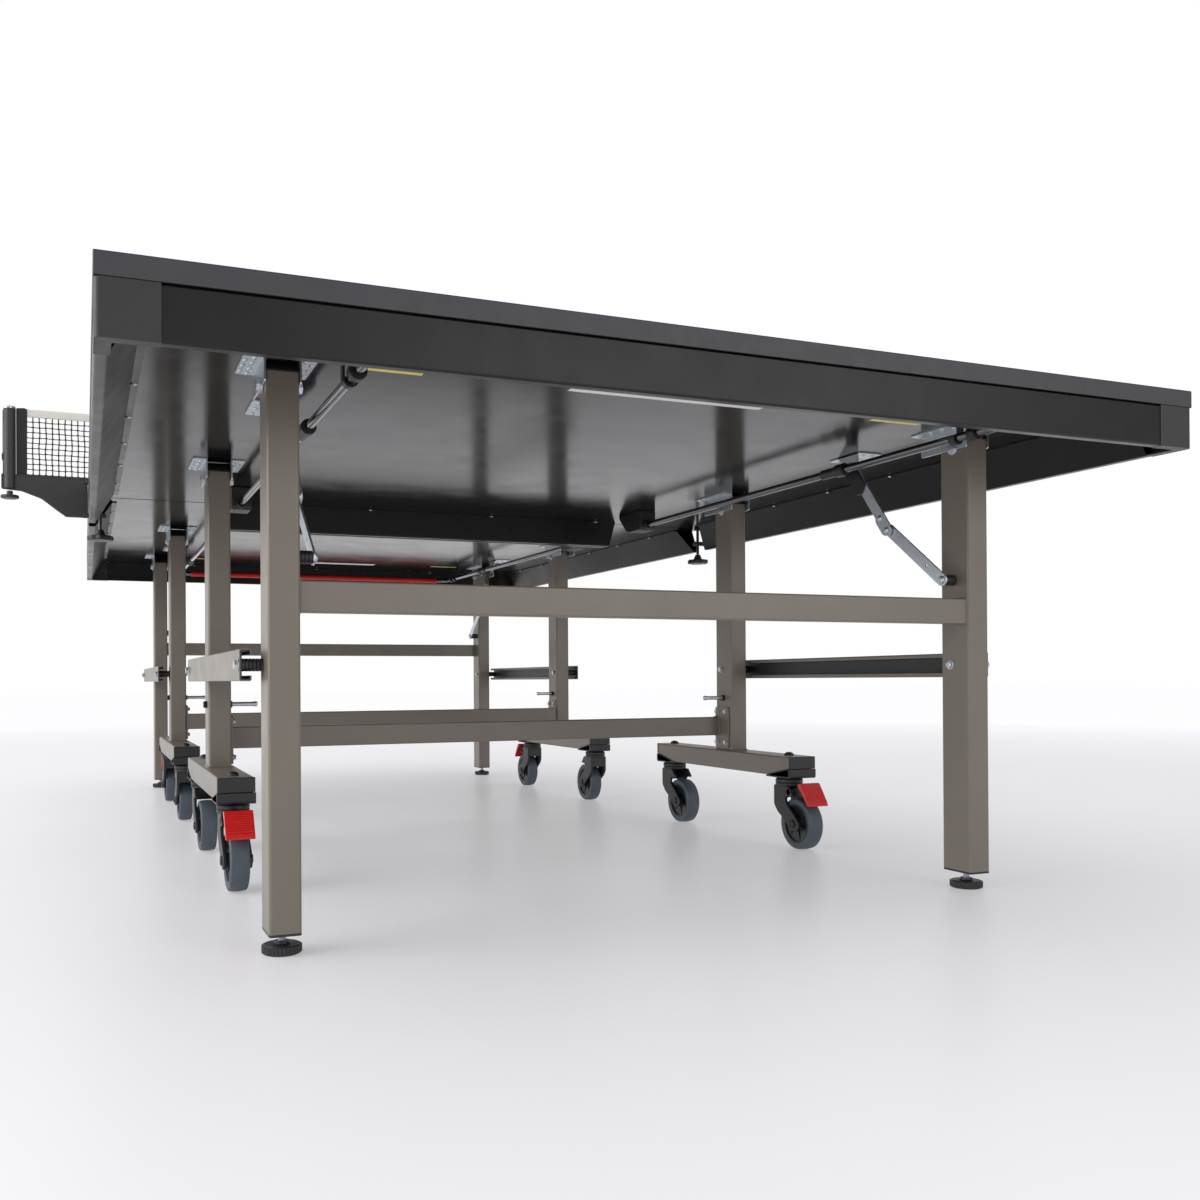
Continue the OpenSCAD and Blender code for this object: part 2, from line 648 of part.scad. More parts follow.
module near_trolley_frame() near() trolley_frame();
module near_trolley_stretcher() near() trolley_stretcher();
module near_trolley_caps() near() trolley_caps();
module near_trolley_pins() near() trolley_pins();
module near_board() near() board();
module near_apron() near() apron();
module near_corner_caps() near() corner_caps();
module near_hinge_brackets() near() hinge_brackets();
module near_bar_guides() near() bar_guides();
module near_leg_frame() near() leg_frame();
module near_leg_fittings() near() leg_fittings();
module near_link_bars() near() link_bars();
module near_stay_upper() near() stay_upper();
module near_stay_lower() near() stay_lower();
module near_release_bar() near() release_bar();
module near_fork_left_inner() near() left() fork(caster_in);
module near_fork_left_outer() near() left() fork(caster_out, braked = true);
module near_fork_right_inner() near() fork(caster_in);
module near_fork_right_outer() near() fork(caster_out, braked = true);
module near_wheel_left_inner() near() left() wheel(caster_in);
module near_wheel_left_outer() near() left() wheel(caster_out);
module near_wheel_right_inner() near() wheel(caster_in);
module near_wheel_right_outer() near() wheel(caster_out);
module near_brake_left() near() left() brake(caster_out);
module near_brake_right() near() brake(caster_out);
module near_foot_left() near() left() foot();
module near_foot_right() near() foot();

module far_trolley_frame() far() trolley_frame();
module far_trolley_stretcher() far() trolley_stretcher();
module far_trolley_caps() far() trolley_caps();
module far_trolley_pins() far() trolley_pins();
module far_board() far() board();
module far_apron() far() apron();
module far_corner_caps() far() corner_caps();
module far_hinge_brackets() far() hinge_brackets();
module far_bar_guides() far() bar_guides();
module far_leg_frame() far() leg_frame();
module far_leg_fittings() far() leg_fittings();
module far_link_bars() far() link_bars();
module far_stay_upper() far() stay_upper();
module far_stay_lower() far() stay_lower();
module far_release_bar() far() release_bar();
module far_fork_left_inner() far() left() fork(caster_in);
module far_fork_left_outer() far() left() fork(caster_out, braked = true);
module far_fork_right_inner() far() fork(caster_in);
module far_fork_right_outer() far() fork(caster_out, braked = true);
module far_wheel_left_inner() far() left() wheel(caster_in);
module far_wheel_left_outer() far() left() wheel(caster_out);
module far_wheel_right_inner() far() wheel(caster_in);
module far_wheel_right_outer() far() wheel(caster_out);
module far_brake_left() far() left() brake(caster_out);
module far_brake_right() far() brake(caster_out);
module far_foot_left() far() left() foot();
module far_foot_right() far() foot();

module clamp_screw_left() left() clamp_screw();
module clamp_screw_right() clamp_screw();
module height_screw_left() left() height_screw();
module height_screw_right() height_screw();

near_trolley_frame();
near_trolley_stretcher();
near_trolley_caps();
near_trolley_pins();
near_board();
near_apron();
near_corner_caps();
near_hinge_brackets();
near_bar_guides();
near_leg_frame();
near_leg_fittings();
near_link_bars();
near_stay_upper();
near_stay_lower();
near_release_bar();
near_fork_left_inner();
near_fork_left_outer();
near_fork_right_inner();
near_fork_right_outer();
near_wheel_left_inner();
near_wheel_left_outer();
near_wheel_right_inner();
near_wheel_right_outer();
near_brake_left();
near_brake_right();
near_foot_left();
near_foot_right();
far_trolley_frame();
far_trolley_stretcher();
far_trolley_caps();
far_trolley_pins();
far_board();
far_apron();
far_corner_caps();
far_hinge_brackets();
far_bar_guides();
far_leg_frame();
far_leg_fittings();
far_link_bars();
far_stay_upper();
far_stay_lower();
far_release_bar();
far_fork_left_inner();
far_fork_left_outer();
far_fork_right_inner();
far_fork_right_outer();
far_wheel_left_inner();
far_wheel_left_outer();
far_wheel_right_inner();
far_wheel_right_outer();
far_brake_left();
far_brake_right();
far_foot_left();
far_foot_right();
net_posts();
net_mesh();
clamp_screw_left();
clamp_screw_right();
height_screw_left();
height_screw_right();
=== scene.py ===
"""Looks of the ping pong table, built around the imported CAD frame.

Shapes are drawn in millimetres in the row frame, on the far half (+Y) and, where the table is
symmetric, on its right side (+X). They are then mirrored to the near half and scaled to metres.
The net is drawn in its place.
"""

import math

import bmesh
import bpy
from mathutils import Matrix, Vector

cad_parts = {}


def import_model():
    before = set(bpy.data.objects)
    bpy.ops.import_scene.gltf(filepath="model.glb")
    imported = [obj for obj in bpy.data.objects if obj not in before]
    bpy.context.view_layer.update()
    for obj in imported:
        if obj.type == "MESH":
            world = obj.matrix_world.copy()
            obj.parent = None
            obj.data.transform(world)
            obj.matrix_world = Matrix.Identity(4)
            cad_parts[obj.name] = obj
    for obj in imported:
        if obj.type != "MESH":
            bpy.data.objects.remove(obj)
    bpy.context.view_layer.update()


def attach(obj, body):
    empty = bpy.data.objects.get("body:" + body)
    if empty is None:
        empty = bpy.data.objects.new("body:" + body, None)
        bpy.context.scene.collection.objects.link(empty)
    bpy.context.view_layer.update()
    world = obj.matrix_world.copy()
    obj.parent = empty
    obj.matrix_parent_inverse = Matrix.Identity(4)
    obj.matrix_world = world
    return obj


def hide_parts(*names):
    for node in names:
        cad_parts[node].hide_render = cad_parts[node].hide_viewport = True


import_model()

MM = 0.001
AXES = {"x": Vector((1, 0, 0)), "y": Vector((0, 1, 0)), "z": Vector((0, 0, 1))}
SIDES = {"left": -1, "right": 1}
COOL_WHITE = (0.985, 0.985, 1.0, 1.0)
# materials by name, filled in as they are made
LOOKS = {}

# Sizes that the CAD source settles, in millimetres
HALF_W = 762.5
BOARD_IN = 3
BOARD_OUT = 1370
TABLE_H = 760
UNDER = 735
APRON_X = 761.5
APRON_Y = 1369
APRON_Z = 675
APRON_H = 60
RAIL_IN = 748.5
RAIL_TOP = 712.5
RAIL_END = 27
RAIL_SLOPE = 30
CROSS_LOW = 473
CROSS_SLOPE = 17
BRACKET_IN = 69
CORNER = 64
LEG_X = 545
LEG_IN = 525
LEG_OUT = 565
LEG_D = 60
OUTER_Y = 1143
T_Y = 465
LEG_TOP = 714
LEG_BOTTOM = 29
PIVOT_Z = 702
LINK_Z = 357
LINK_IN_Y = 455
LINK_OUT_Y = 1133
STOP_Z = 295
STRETCHER_W = 20
STRETCHER_H = 40
OUTER_STRETCHER = (1158, 441)
T_STRETCHER = (443, 233)
CAP_R = 32
BAR_IN = 190
BAR_OUT = 714
BAR_TOP = 182
BAR_BOTTOM = 142
SHOE_BOTTOM = 139
CASTERS = {"inner": 218, "outer": 673}
TRAIL = 40
AXLE_Z = 50
PEDAL_PIN = (28, 112)
STAY_X = 501
STAY_LEG = (1140, 492)
STAY_BOARD = (928, 710)
ROD_X = 470
ROD_R = 6.5
HOOK_R = 8.8
ROD_BEND_Y = 1295
GRIP_Y = 1325
POST_X = 915
SCREW_X = 738.5
NET_Y = -9
NET_TOP = 912.5
ARM_TOP = 772

# Places of details that only the looks have, in millimetres
RAIL_SCREWS = (200, 395, 589, 782, 976, 1170)
CROSS_TABS = (-430, -150, 150, 430)
SHOE_SPLIT = 157.5


# ---- outlines


def polar(cx, cy, r, degrees):
    turn = math.radians(degrees)
    return (cx + r * math.cos(turn), cy + r * math.sin(turn))


def arc(cx, cy, r, a0, a1, n=12):
    """Points on an arc, with its angles in degrees."""
    step = (a1 - a0) / n
    return [polar(cx, cy, r, a0 + step * i) for i in range(n + 1)]


def ring(cx, cy, r, n=24):
    return arc(cx, cy, r, 0, 360 * (n - 1) / n, n - 1)


def moved(outline, da, db=0):
    return [(a + da, b + db) for a, b in outline]


def round_rect(w, h, r, cx=0, cy=0, n=4):
    """Rectangle with round corners, centred on (cx, cy)."""
    x, y = w / 2 - r, h / 2 - r
    out = []
    for sx, sy, a in ((1, 1, 0), (-1, 1, 90), (-1, -1, 180), (1, -1, 270)):
        out += arc(cx + sx * x, cy + sy * y, r, a, a + 90, n)
    return out


def rounded(points, r, closed=False, n=5):
    """The polyline or polygon with its corners rounded; r is one radius or one for each corner."""
    out = []
    count = len(points)
    for i, here in enumerate(points):
        radius = r[i] if hasattr(r, "__len__") else r
        if (not closed and i in (0, count - 1)) or radius <= 0:
            out.append(tuple(here))
            continue
        p = Vector(here)
        a = Vector(points[i - 1]) - p
        b = Vector(points[(i + 1) % count]) - p
        half_angle = a.angle(b) / 2
        cut = min(radius / max(math.tan(half_angle), 1e-3), a.length * 0.48, b.length * 0.48)
        p0, p2 = p + a.normalized() * cut, p + b.normalized() * cut
        for k in range(n + 1):
            t = k / n
            out.append(tuple((1 - t) ** 2 * p0 + 2 * t * (1 - t) * p + t * t * p2))
    return out


def sheet_outline(points, t, r):
    """Outline of bent sheet of thickness t whose middle line runs through the points."""
    line = [Vector(p) for p in rounded(points, r)]
    sides = ([], [])
    for i, p in enumerate(line):
        before = (p - line[i - 1]).normalized() if i else None
        after = (line[i + 1] - p).normalized() if i < len(line) - 1 else None
        along = (before or after) + (after or before)
        along.normalize()
        across = Vector((-along.y, along.x))
        stretch = 1 / max(0.5, across.dot(Vector((-(after or before).y, (after or before).x))))
        sides[0].append(tuple(p + across * (t / 2 * stretch)))
        sides[1].append(tuple(p - across * (t / 2 * stretch)))
    return sides[0] + sides[1][::-1]


def bar_outline(a, b, w, n=10):
    """Flat bar with round ends between two points."""
    turn = math.degrees(math.atan2(b[1] - a[1], b[0] - a[0]))
    ends = ((b, turn - 90), (a, turn + 90))
    return [point for (x, y), start in ends for point in arc(x, y, w / 2, start, start + 180, n)]


# ---- solids


def skin(part, rings, closed):
    """Faces between neighbouring rings of points, and over the two ends unless they meet."""
    for a, b in zip(rings, rings[1:] + rings[:1] if closed else rings[1:]):
        sides = max(len(a), len(b))
        for i in range(sides):
            j = (i + 1) % sides
            # a ring of one point is a pole
            corners = dict.fromkeys((a[i % len(a)], a[j % len(a)], b[j % len(b)], b[i % len(b)]))
            if len(corners) > 2:
                part.faces.new(tuple(corners))
    for end in () if closed else (rings[0], rings[-1]):
        if len(end) > 1:
            part.faces.new(end)


class Solid:
    """A bmesh in millimetres to which simple solids are added."""

    def __init__(self):
        self.bm = bmesh.new()

    def add(self, part, bevel=0, segments=2):
        bmesh.ops.recalc_face_normals(part, faces=part.faces)
        if bevel > 0:
            sharp = [
                e for e in part.edges
                if e.is_manifold and abs(e.calc_face_angle(0)) > math.radians(30)
            ]
            bmesh.ops.bevel(
                part, geom=sharp, offset=bevel, segments=segments, profile=0.5,
                affect="EDGES", clamp_overlap=True,
            )
        mesh = bpy.data.meshes.new("part")
        part.to_mesh(mesh)
        part.free()
        self.bm.from_mesh(mesh)
        bpy.data.meshes.remove(mesh)
        return self

    def block(self, lo, hi, bevel=1, turn=None, **k):
        """Box between two corners, turned by a matrix if there is one."""
        part = bmesh.new()
        bmesh.ops.create_cube(part, size=1.0)
        lo, hi = Vector(lo), Vector(hi)
        bmesh.ops.scale(part, vec=hi - lo, verts=part.verts)
        bmesh.ops.translate(part, vec=(lo + hi) / 2, verts=part.verts)
        if turn:
            part.transform(turn)
        return self.add(part, bevel, **k)

    def prism(self, outline, axis, a0, a1, bevel=0.5, holes=(), shape=None, **k):
        """Outline extruded along an axis. Its points are (y, z) for x, (x, z) for y and (x, y) for z."""
        place = {
            "x": lambda p, q, a: Vector((a, p, q)),
            "y": lambda p, q, a: Vector((p, a, q)),
            "z": lambda p, q, a: Vector((p, q, a)),
        }[axis]
        part = bmesh.new()
        edges = []
        for loop in (outline, *holes):
            verts = [part.verts.new(place(p, q, a0)) for p, q in loop]
            edges += [part.edges.new((v, verts[(i + 1) % len(verts)])) for i, v in enumerate(verts)]
        if holes:
            bmesh.ops.triangle_fill(part, use_beauty=True, edges=edges)
        else:
            part.faces.new(part.verts)
        base = part.faces[:]
        rim = [e for e in part.edges if len(e.link_faces) == 1]
        top = {v: part.verts.new(v.co + place(0, 0, a1 - a0)) for v in part.verts[:]}
        for f in base:
            part.faces.new([top[v] for v in reversed(f.verts)])
        for e in rim:
            a, b = e.verts
            part.faces.new((a, b, top[b], top[a]))
        if shape:
            for v in part.verts:
                v.co = shape(v.co)
        return self.add(part, bevel, **k)

    def lathe(self, origin, axis, profile, sides=40, closed=False, **k):
        """Profile of (radius, distance along the axis) pairs turned about the axis."""
        along = AXES[axis] if isinstance(axis, str) else Vector(axis)
        turn = along.to_track_quat("Z", "Y").to_matrix()
        origin = Vector(origin)
        part = bmesh.new()
        rings = []
        for r, t in profile:
            circle = ring(0, 0, r, sides) if r > 0 else [(0, 0)]
            rings.append([part.verts.new(origin + turn @ Vector((p, q, t))) for p, q in circle])
        skin(part, rings, closed)
        return self.add(part, **k)

    def sweep(self, points, radius, sides=12, loop=False, **k):
        """Round bar along the points; radius is one number or one for each point."""
        line = [Vector(p) for p in points]
        count = len(line)
        part = bmesh.new()
        rings = []
        side = None
        for i, p in enumerate(line):
            before = line[i - 1] if (i or loop) else p
            after = line[(i + 1) % count] if (i < count - 1 or loop) else p
            along = (after - before).normalized()
            if side is None:
                side = along.orthogonal().normalized()
            side = (side - along * side.dot(along)).normalized()
            up = along.cross(side)
            r = radius[i] if hasattr(radius, "__len__") else radius
            rings.append([part.verts.new(p + side * u + up * v) for u, v in ring(0, 0, r, sides)])
        skin(part, rings, loop)
        return self.add(part, **k)

    def rod(self, a, b, r, edge=0.6, sides=24, **k):
        """Straight round bar with chamfered ends."""
        a, b = Vector(a), Vector(b)
        length = (b - a).length
        edge = min(edge, r * 0.4, length * 0.4)
        profile = [(0, 0), (r - edge, 0), (r, edge), (r, length - edge), (r - edge, length), (0, length)]
        return self.lathe(a, (b - a) / length, profile, sides, **k)

    def bead(self, corners, r):
        """Weld bead round a closed loop of corners, with fine ripples."""
        line = []
        for i, c in enumerate(corners):
            a, b = Vector(c), Vector(corners[(i + 1) % len(corners)])
            n = max(2, int((b - a).length / 1.6))
            line += [a.lerp(b, j / n) for j in range(n)]
        radii = [r * (1 + 0.12 * math.sin(1.9 * i) + 0.06 * math.sin(0.7 * i)) for i in range(len(line))]
        return self.sweep(line, radii, 8, loop=True)

    def hex_bolt(self, at, axis, across, height):
        """Hexagon head with a washer, its seat at the point, standing out along the axis."""
        at, axis = Vector(at), Vector(axis)
        r = across / 2
        self.lathe(at, axis, [(0, 0), (r * 1.35, 0), (r * 1.35, 0.9), (r * 1.2, 1.2), (0, 1.2)], 28)
        self.lathe(at + axis * 1.2, axis, [
            (0, 0), (r * 1.13, 0), (r * 1.13, height - 1.8), (r * 0.9, height - 1.2), (0, height - 1.2)],
            6)
        return self

    def pan_screw(self, at, axis, r, height):
        """Domed screw head with a sunk drive."""
        dome = ((0, 0.35), (0.34, 0.45), (0.36, 0.97), (0.62, 0.9), (0.88, 0.58), (1, 0.15), (1, 0), (0, 0))
        return self.lathe(at, axis, [(r * p, height * q) for p, q in dome], 18)

    def both(self):
        """Adds the mirror image across X = 0."""
        geometry = self.bm.verts[:] + self.bm.edges[:] + self.bm.faces[:]
        made = bmesh.ops.duplicate(self.bm, geom=geometry)["geom"]
        verts = [g for g in made if isinstance(g, bmesh.types.BMVert)]
        faces = [g for g in made if isinstance(g, bmesh.types.BMFace)]
        bmesh.ops.scale(self.bm, vec=(-1, 1, 1), verts=verts)
        bmesh.ops.reverse_faces(self.bm, faces=faces)
        return self


def show(name, solid, body, look, sx=1, sy=1, replaces=(), crease=32):
    """Makes a piece of the solid, mirrored where sx or sy is -1, riding on its body."""
    mesh = bpy.data.meshes.new(name)
    solid.bm.to_mesh(mesh)
    mesh.transform(Matrix.Diagonal((sx * MM, sy * MM, MM, 1)))
    if sx * sy < 0:
        mesh.flip_normals()
    mesh.materials.append(LOOKS[look])
    mesh.shade_smooth()
    mesh.set_sharp_from_angle(angle=math.radians(crease))
    piece = bpy.data.objects.new(name, mesh)
    bpy.context.scene.collection.objects.link(piece)
    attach(piece, body)
    if replaces:
        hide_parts(*replaces)
    # flat faces keep their own normals beside the small bevels
    even = piece.modifiers.new("weighted_normals", "WEIGHTED_NORMAL")
    even.keep_sharp = True
    return piece


class Half:
    """One half of the table: its name, and the sign that mirrors the far half onto it."""

    def __init__(self, name, mirror):
        self.name = name
        self.mirror = mirror

    def show(self, name, solid, body, look, *replaced, sx=1):
        """Shows a piece. Its name, body and CAD nodes all start with the half's name."""
        start = self.name + "_"
        show(start + name, solid, start + body, look, sx, self.mirror, [start + node for node in replaced])


# ---- materials


def feed(tree, node, inputs):
    """Links sockets to a node's inputs, or sets their values, and gives its outputs."""
    for key, value in inputs.items():
        if isinstance(value, bpy.types.NodeSocket):
            tree.links.new(value, node.inputs[key])
        else:
            node.inputs[key].default_value = value
    return node.outputs


def add_node(tree, kind, inputs=None, operation=None):
    """Adds a shader node and gives its outputs."""
    node = tree.nodes.new("ShaderNode" + kind)
    if operation:
        node.operation = operation
    return feed(tree, node, inputs or {})


class Nodes:
    """A material's node tree on its object coordinates, which are the row frame in metres."""

    def __init__(self, name):
        self.material = LOOKS[name] = bpy.data.materials.new(name)
        self.material.use_nodes = True
        self.tree = self.material.node_tree
        self.shader = self.tree.nodes["Principled BSDF"]
        self.place = add_node(self.tree, "TexCoord")["Object"]

    def noise(self, scale, detail=3.0, rough=0.55, stretch=None):
        place = self.place
        if stretch:
            place = add_node(self.tree, "Mapping", {"Vector": place, "Scale": stretch})["Vector"]
        settings = {"Vector": place, "Scale": scale, "Detail": detail, "Roughness": rough}
        return add_node(self.tree, "TexNoise", settings)["Fac"]

    def ramp(self, value, *stops):
        """Colour that goes from the first stop to the second, each a value and its colour."""
        node = self.tree.nodes.new("ShaderNodeValToRGB")
        for end, (at, colour) in zip(node.color_ramp.elements, stops):
            end.position = at
            end.color = (*colour, 1.0)
        return feed(self.tree, node, {"Fac": value})["Color"]

    def tint(self, value, colour, spread, low, high):
        """A darker shade of the colour up to the low value, and a lighter one from the high value."""
        dark, light = (tuple(min(1.0, c * k) for c in colour) for k in (1 - spread, 1 + spread))
        return self.ramp(value, (low, dark), (high, light))

    def span(self, value, low, high, start=0.3, end=0.7):
        """The value's range from start to end mapped to low to high."""
        limits = {"Value": value, "From Min": start, "From Max": end, "To Min": low, "To Max": high}
        return add_node(self.tree, "MapRange", limits)["Result"]

    def math(self, operation, a, b):
        return add_node(self.tree, "Math", {0: a, 1: b}, operation)["Value"]

    def mix(self, factor, base, colour):
        node = self.tree.nodes.new("ShaderNodeMix")
        node.data_type = "RGBA"
        return feed(self.tree, node, {0: factor, 6: base, 7: (*colour, 1.0)})[2]

    def bump(self, height, depth, strength):
        """Normal of a bump of that depth in metres."""
        settings = {"Height": height, "Distance": depth, "Strength": strength}
        return add_node(self.tree, "Bump", settings)["Normal"]

    def surface(self, **inputs):
        feed(self.tree, self.shader, {key.replace("_", " "): value for key, value in inputs.items()})


def finish(name, colour, rough, spread, patch, grain, depth, metal=0.0, rough_spread=0.05,
           stretch=None, **constants):
    """Painted, moulded or plated surface: patchy colour, uneven gloss and a fine grain."""
    n = Nodes(name)
    patches = n.noise(patch, 4.0, 0.6)
    fine = n.noise(grain, 2.0, 0.6, stretch)
    speckle = n.math("ADD", n.math("MULTIPLY", patches, 0.65), n.math("MULTIPLY", fine, 0.35))
    gloss = n.span(n.noise(patch * 3.1, 3.0), rough - rough_spread, rough + rough_spread)
    n.surface(Base_Color=n.tint(speckle, colour, spread, 0.32, 0.68), Roughness=gloss, Metallic=metal,
              Normal=n.bump(fine, depth * MM, 0.6), **constants)
    return n


def woven(name, colour, rough, pitch, depth, spread, sheen):
    """Woven cloth: two crossing sets of threads, with fuzz and a few darker threads."""
    n = Nodes(name)
    rows = []
    for direction in ("X", "Z"):
        wave = n.tree.nodes.new("ShaderNodeTexWave")
        wave.bands_direction = direction
        settings = {"Vector": n.place, "Scale": 0.314 / pitch, "Distortion": 0.6, "Detail Scale": 2.0}
        rows.append(feed(n.tree, wave, settings)["Fac"])
    threads = n.math("MULTIPLY", rows[0], rows[1])
    fuzz = n.noise(2600.0, 2.0)
    tone = n.math("ADD", n.math("MULTIPLY", threads, 0.6), n.math("MULTIPLY", fuzz, 0.4))
    n.surface(Base_Color=n.tint(tone, colour, spread, 0.15, 0.7), Sheen_Weight=sheen,
              Roughness=n.span(fuzz, rough - 0.06, rough + 0.05), Normal=n.bump(threads, depth, 0.8))


def make_materials():
    # name, colour, roughness, spread of the shades, patches, grain, its depth in millimetres
    for row, others in (
        (("frame_paint", (0.172, 0.148, 0.121), 0.36, 0.05, 6, 520, 0.06),
         {"Specular_IOR_Level": 0.55, "Coat_Weight": 0.12, "Coat_Roughness": 0.25}),
        (("apron_paint", (0.0150, 0.0136, 0.0134), 0.31, 0.07, 5, 620, 0.05), {"Specular_IOR_Level": 0.25}),
        (("board_edge", (0.046, 0.046, 0.050), 0.5, 0.09, 22, 1500, 0.05), {"Specular_IOR_Level": 0.45}),
        (("corner_plastic", (0.026, 0.025, 0.026), 0.46, 0.06, 18, 1900, 0.05), {}),
        (("black_plastic", (0.016, 0.016, 0.018), 0.42, 0.15, 30, 2100, 0.06), {}),
        (("rim_plastic", (0.013, 0.013, 0.015), 0.36, 0.15, 40, 1700, 0.05), {}),
        (("zinc_plating", (0.58, 0.62, 0.65), 0.36, 0.12, 160, 1500, 0.03),
         {"metal": 0.9, "rough_spread": 0.09}),
        (("rod_steel", (0.17, 0.17, 0.18), 0.13, 0.06, 30, 900, 0.02),
         {"metal": 1.0, "stretch": (1.0, 0.06, 1.0)}),
        (("chrome", (0.75, 0.76, 0.78), 0.1, 0.04, 60, 1200, 0.01), {"metal": 1.0, "rough_spread": 0.03}),
        (("grip_red", (0.60, 0.012, 0.010), 0.42, 0.1, 12, 1400, 0.08), {"Specular_IOR_Level": 0.5}),
        (("brake_red", (0.60, 0.010, 0.010), 0.3, 0.06, 40, 2200, 0.03),
         {"Coat_Weight": 0.25, "Coat_Roughness": 0.2}),
        (("tyre_rubber", (0.066, 0.084, 0.105), 0.52, 0.1, 45, 1300, 0.09), {"rough_spread": 0.08}),
        (("white_label", (0.78, 0.78, 0.76), 0.4, 0.03, 25, 1600, 0.02), {}),
        (("yellow_label", (0.74, 0.62, 0.10), 0.4, 0.05, 25, 1600, 0.02), {}),
        (("line_paint", (0.80, 0.80, 0.78), 0.5, 0.03, 30, 1400, 0.04), {}),
        # lacquered underside: deep gloss over a faint press pattern
        (("board_lacquer", (0.008, 0.008, 0.0085), 0.15, 0.1, 4, 260, 0.01),
         {"rough_spread": 0.03, "Specular_IOR_Level": 0.17}),
    ):
        finish(*row, **others)
    # playing face: matt blue with a fine sprayed texture and faint scuffs
    n = finish("playing_face", (0.012, 0.042, 0.135), 0.62, 0.07, 9, 2400, 0.1, Specular_IOR_Level=0.35)
    scuffs = n.span(n.noise(18.0, 6.0, 0.7, (1.0, 0.25, 1.0)), 0.0, 0.12, 0.58, 0.75)
    paint = n.shader.inputs["Base Color"].links[0].from_socket
    n.surface(Base_Color=n.mix(scuffs, paint, (0.05, 0.09, 0.19)))
    # name, colour, roughness, pitch and depth of the threads in metres, spread of the shades, sheen
    woven("net_tape", (0.72, 0.70, 0.64), 0.85, 0.0011, 0.00025, 0.08, 0.25)
    woven("net_sleeve", (0.014, 0.014, 0.016), 0.8, 0.0009, 0.0002, 0.3, 0.2)
    woven("net_cord", (0.012, 0.012, 0.012), 0.78, 0.0006, 0.00015, 0.35, 0.15)


# ---- table top


def board_pieces(half):
    length, mid_y = BOARD_OUT - BOARD_IN, (BOARD_IN + BOARD_OUT) / 2
    plan = round_rect(2 * HALF_W, length, 1.5, 0, mid_y)
    inner = round_rect(2 * HALF_W - 0.6, length - 0.6, 1.4, 0, mid_y)
    core = Solid().prism(plan, "z", UNDER + 0.5, TABLE_H - 0.8, 0.7)
    half.show("board_core", core, "top", "board_edge", "board")
    face = Solid().prism(inner, "z", TABLE_H - 0.8, TABLE_H - 0.06, 0.3)
    half.show("playing_face", face, "top", "playing_face")
    lines = Solid()
    wide, fine, inset = 20, 3, 0.7
    x1, y0, y1 = HALF_W - inset, BOARD_IN + inset, BOARD_OUT - inset
    for lo, hi in (
        ((-x1, y0), (-x1 + wide, y1)), ((x1 - wide, y0), (x1, y1)),
        ((-x1 + wide, y1 - wide), (x1 - wide, y1)), ((-fine / 2, y0), (fine / 2, y1 - wide)),
    ):
        lines.block((*lo, TABLE_H - 0.3), (*hi, TABLE_H), 0.02, segments=1)
    half.show("lines", lines, "top", "line_paint")
    lacquer = Solid().prism(inner, "z", UNDER, UNDER + 0.5, 0.15)
    half.show("lacquered_face", lacquer, "top", "board_lacquer")
    label = Solid().block((-150, 1138, UNDER - 0.25), (160, 1175, UNDER), 0.08, segments=1)
    half.show("white_label", label, "top", "white_label")
    strips = Solid().block((360, 1140, UNDER - 0.25), (453, 1155, UNDER), 0.08, segments=1).both()
    half.show("yellow_labels", strips, "top", "yellow_label")


def wood_screw(solid, x, y, seat=2.4, r=3.9, height=2.5):
    """Pan screw driven up into the board, its seat that far below the underside."""
    solid.pan_screw((x, y, UNDER - seat), (0, 0, -1), r, height)


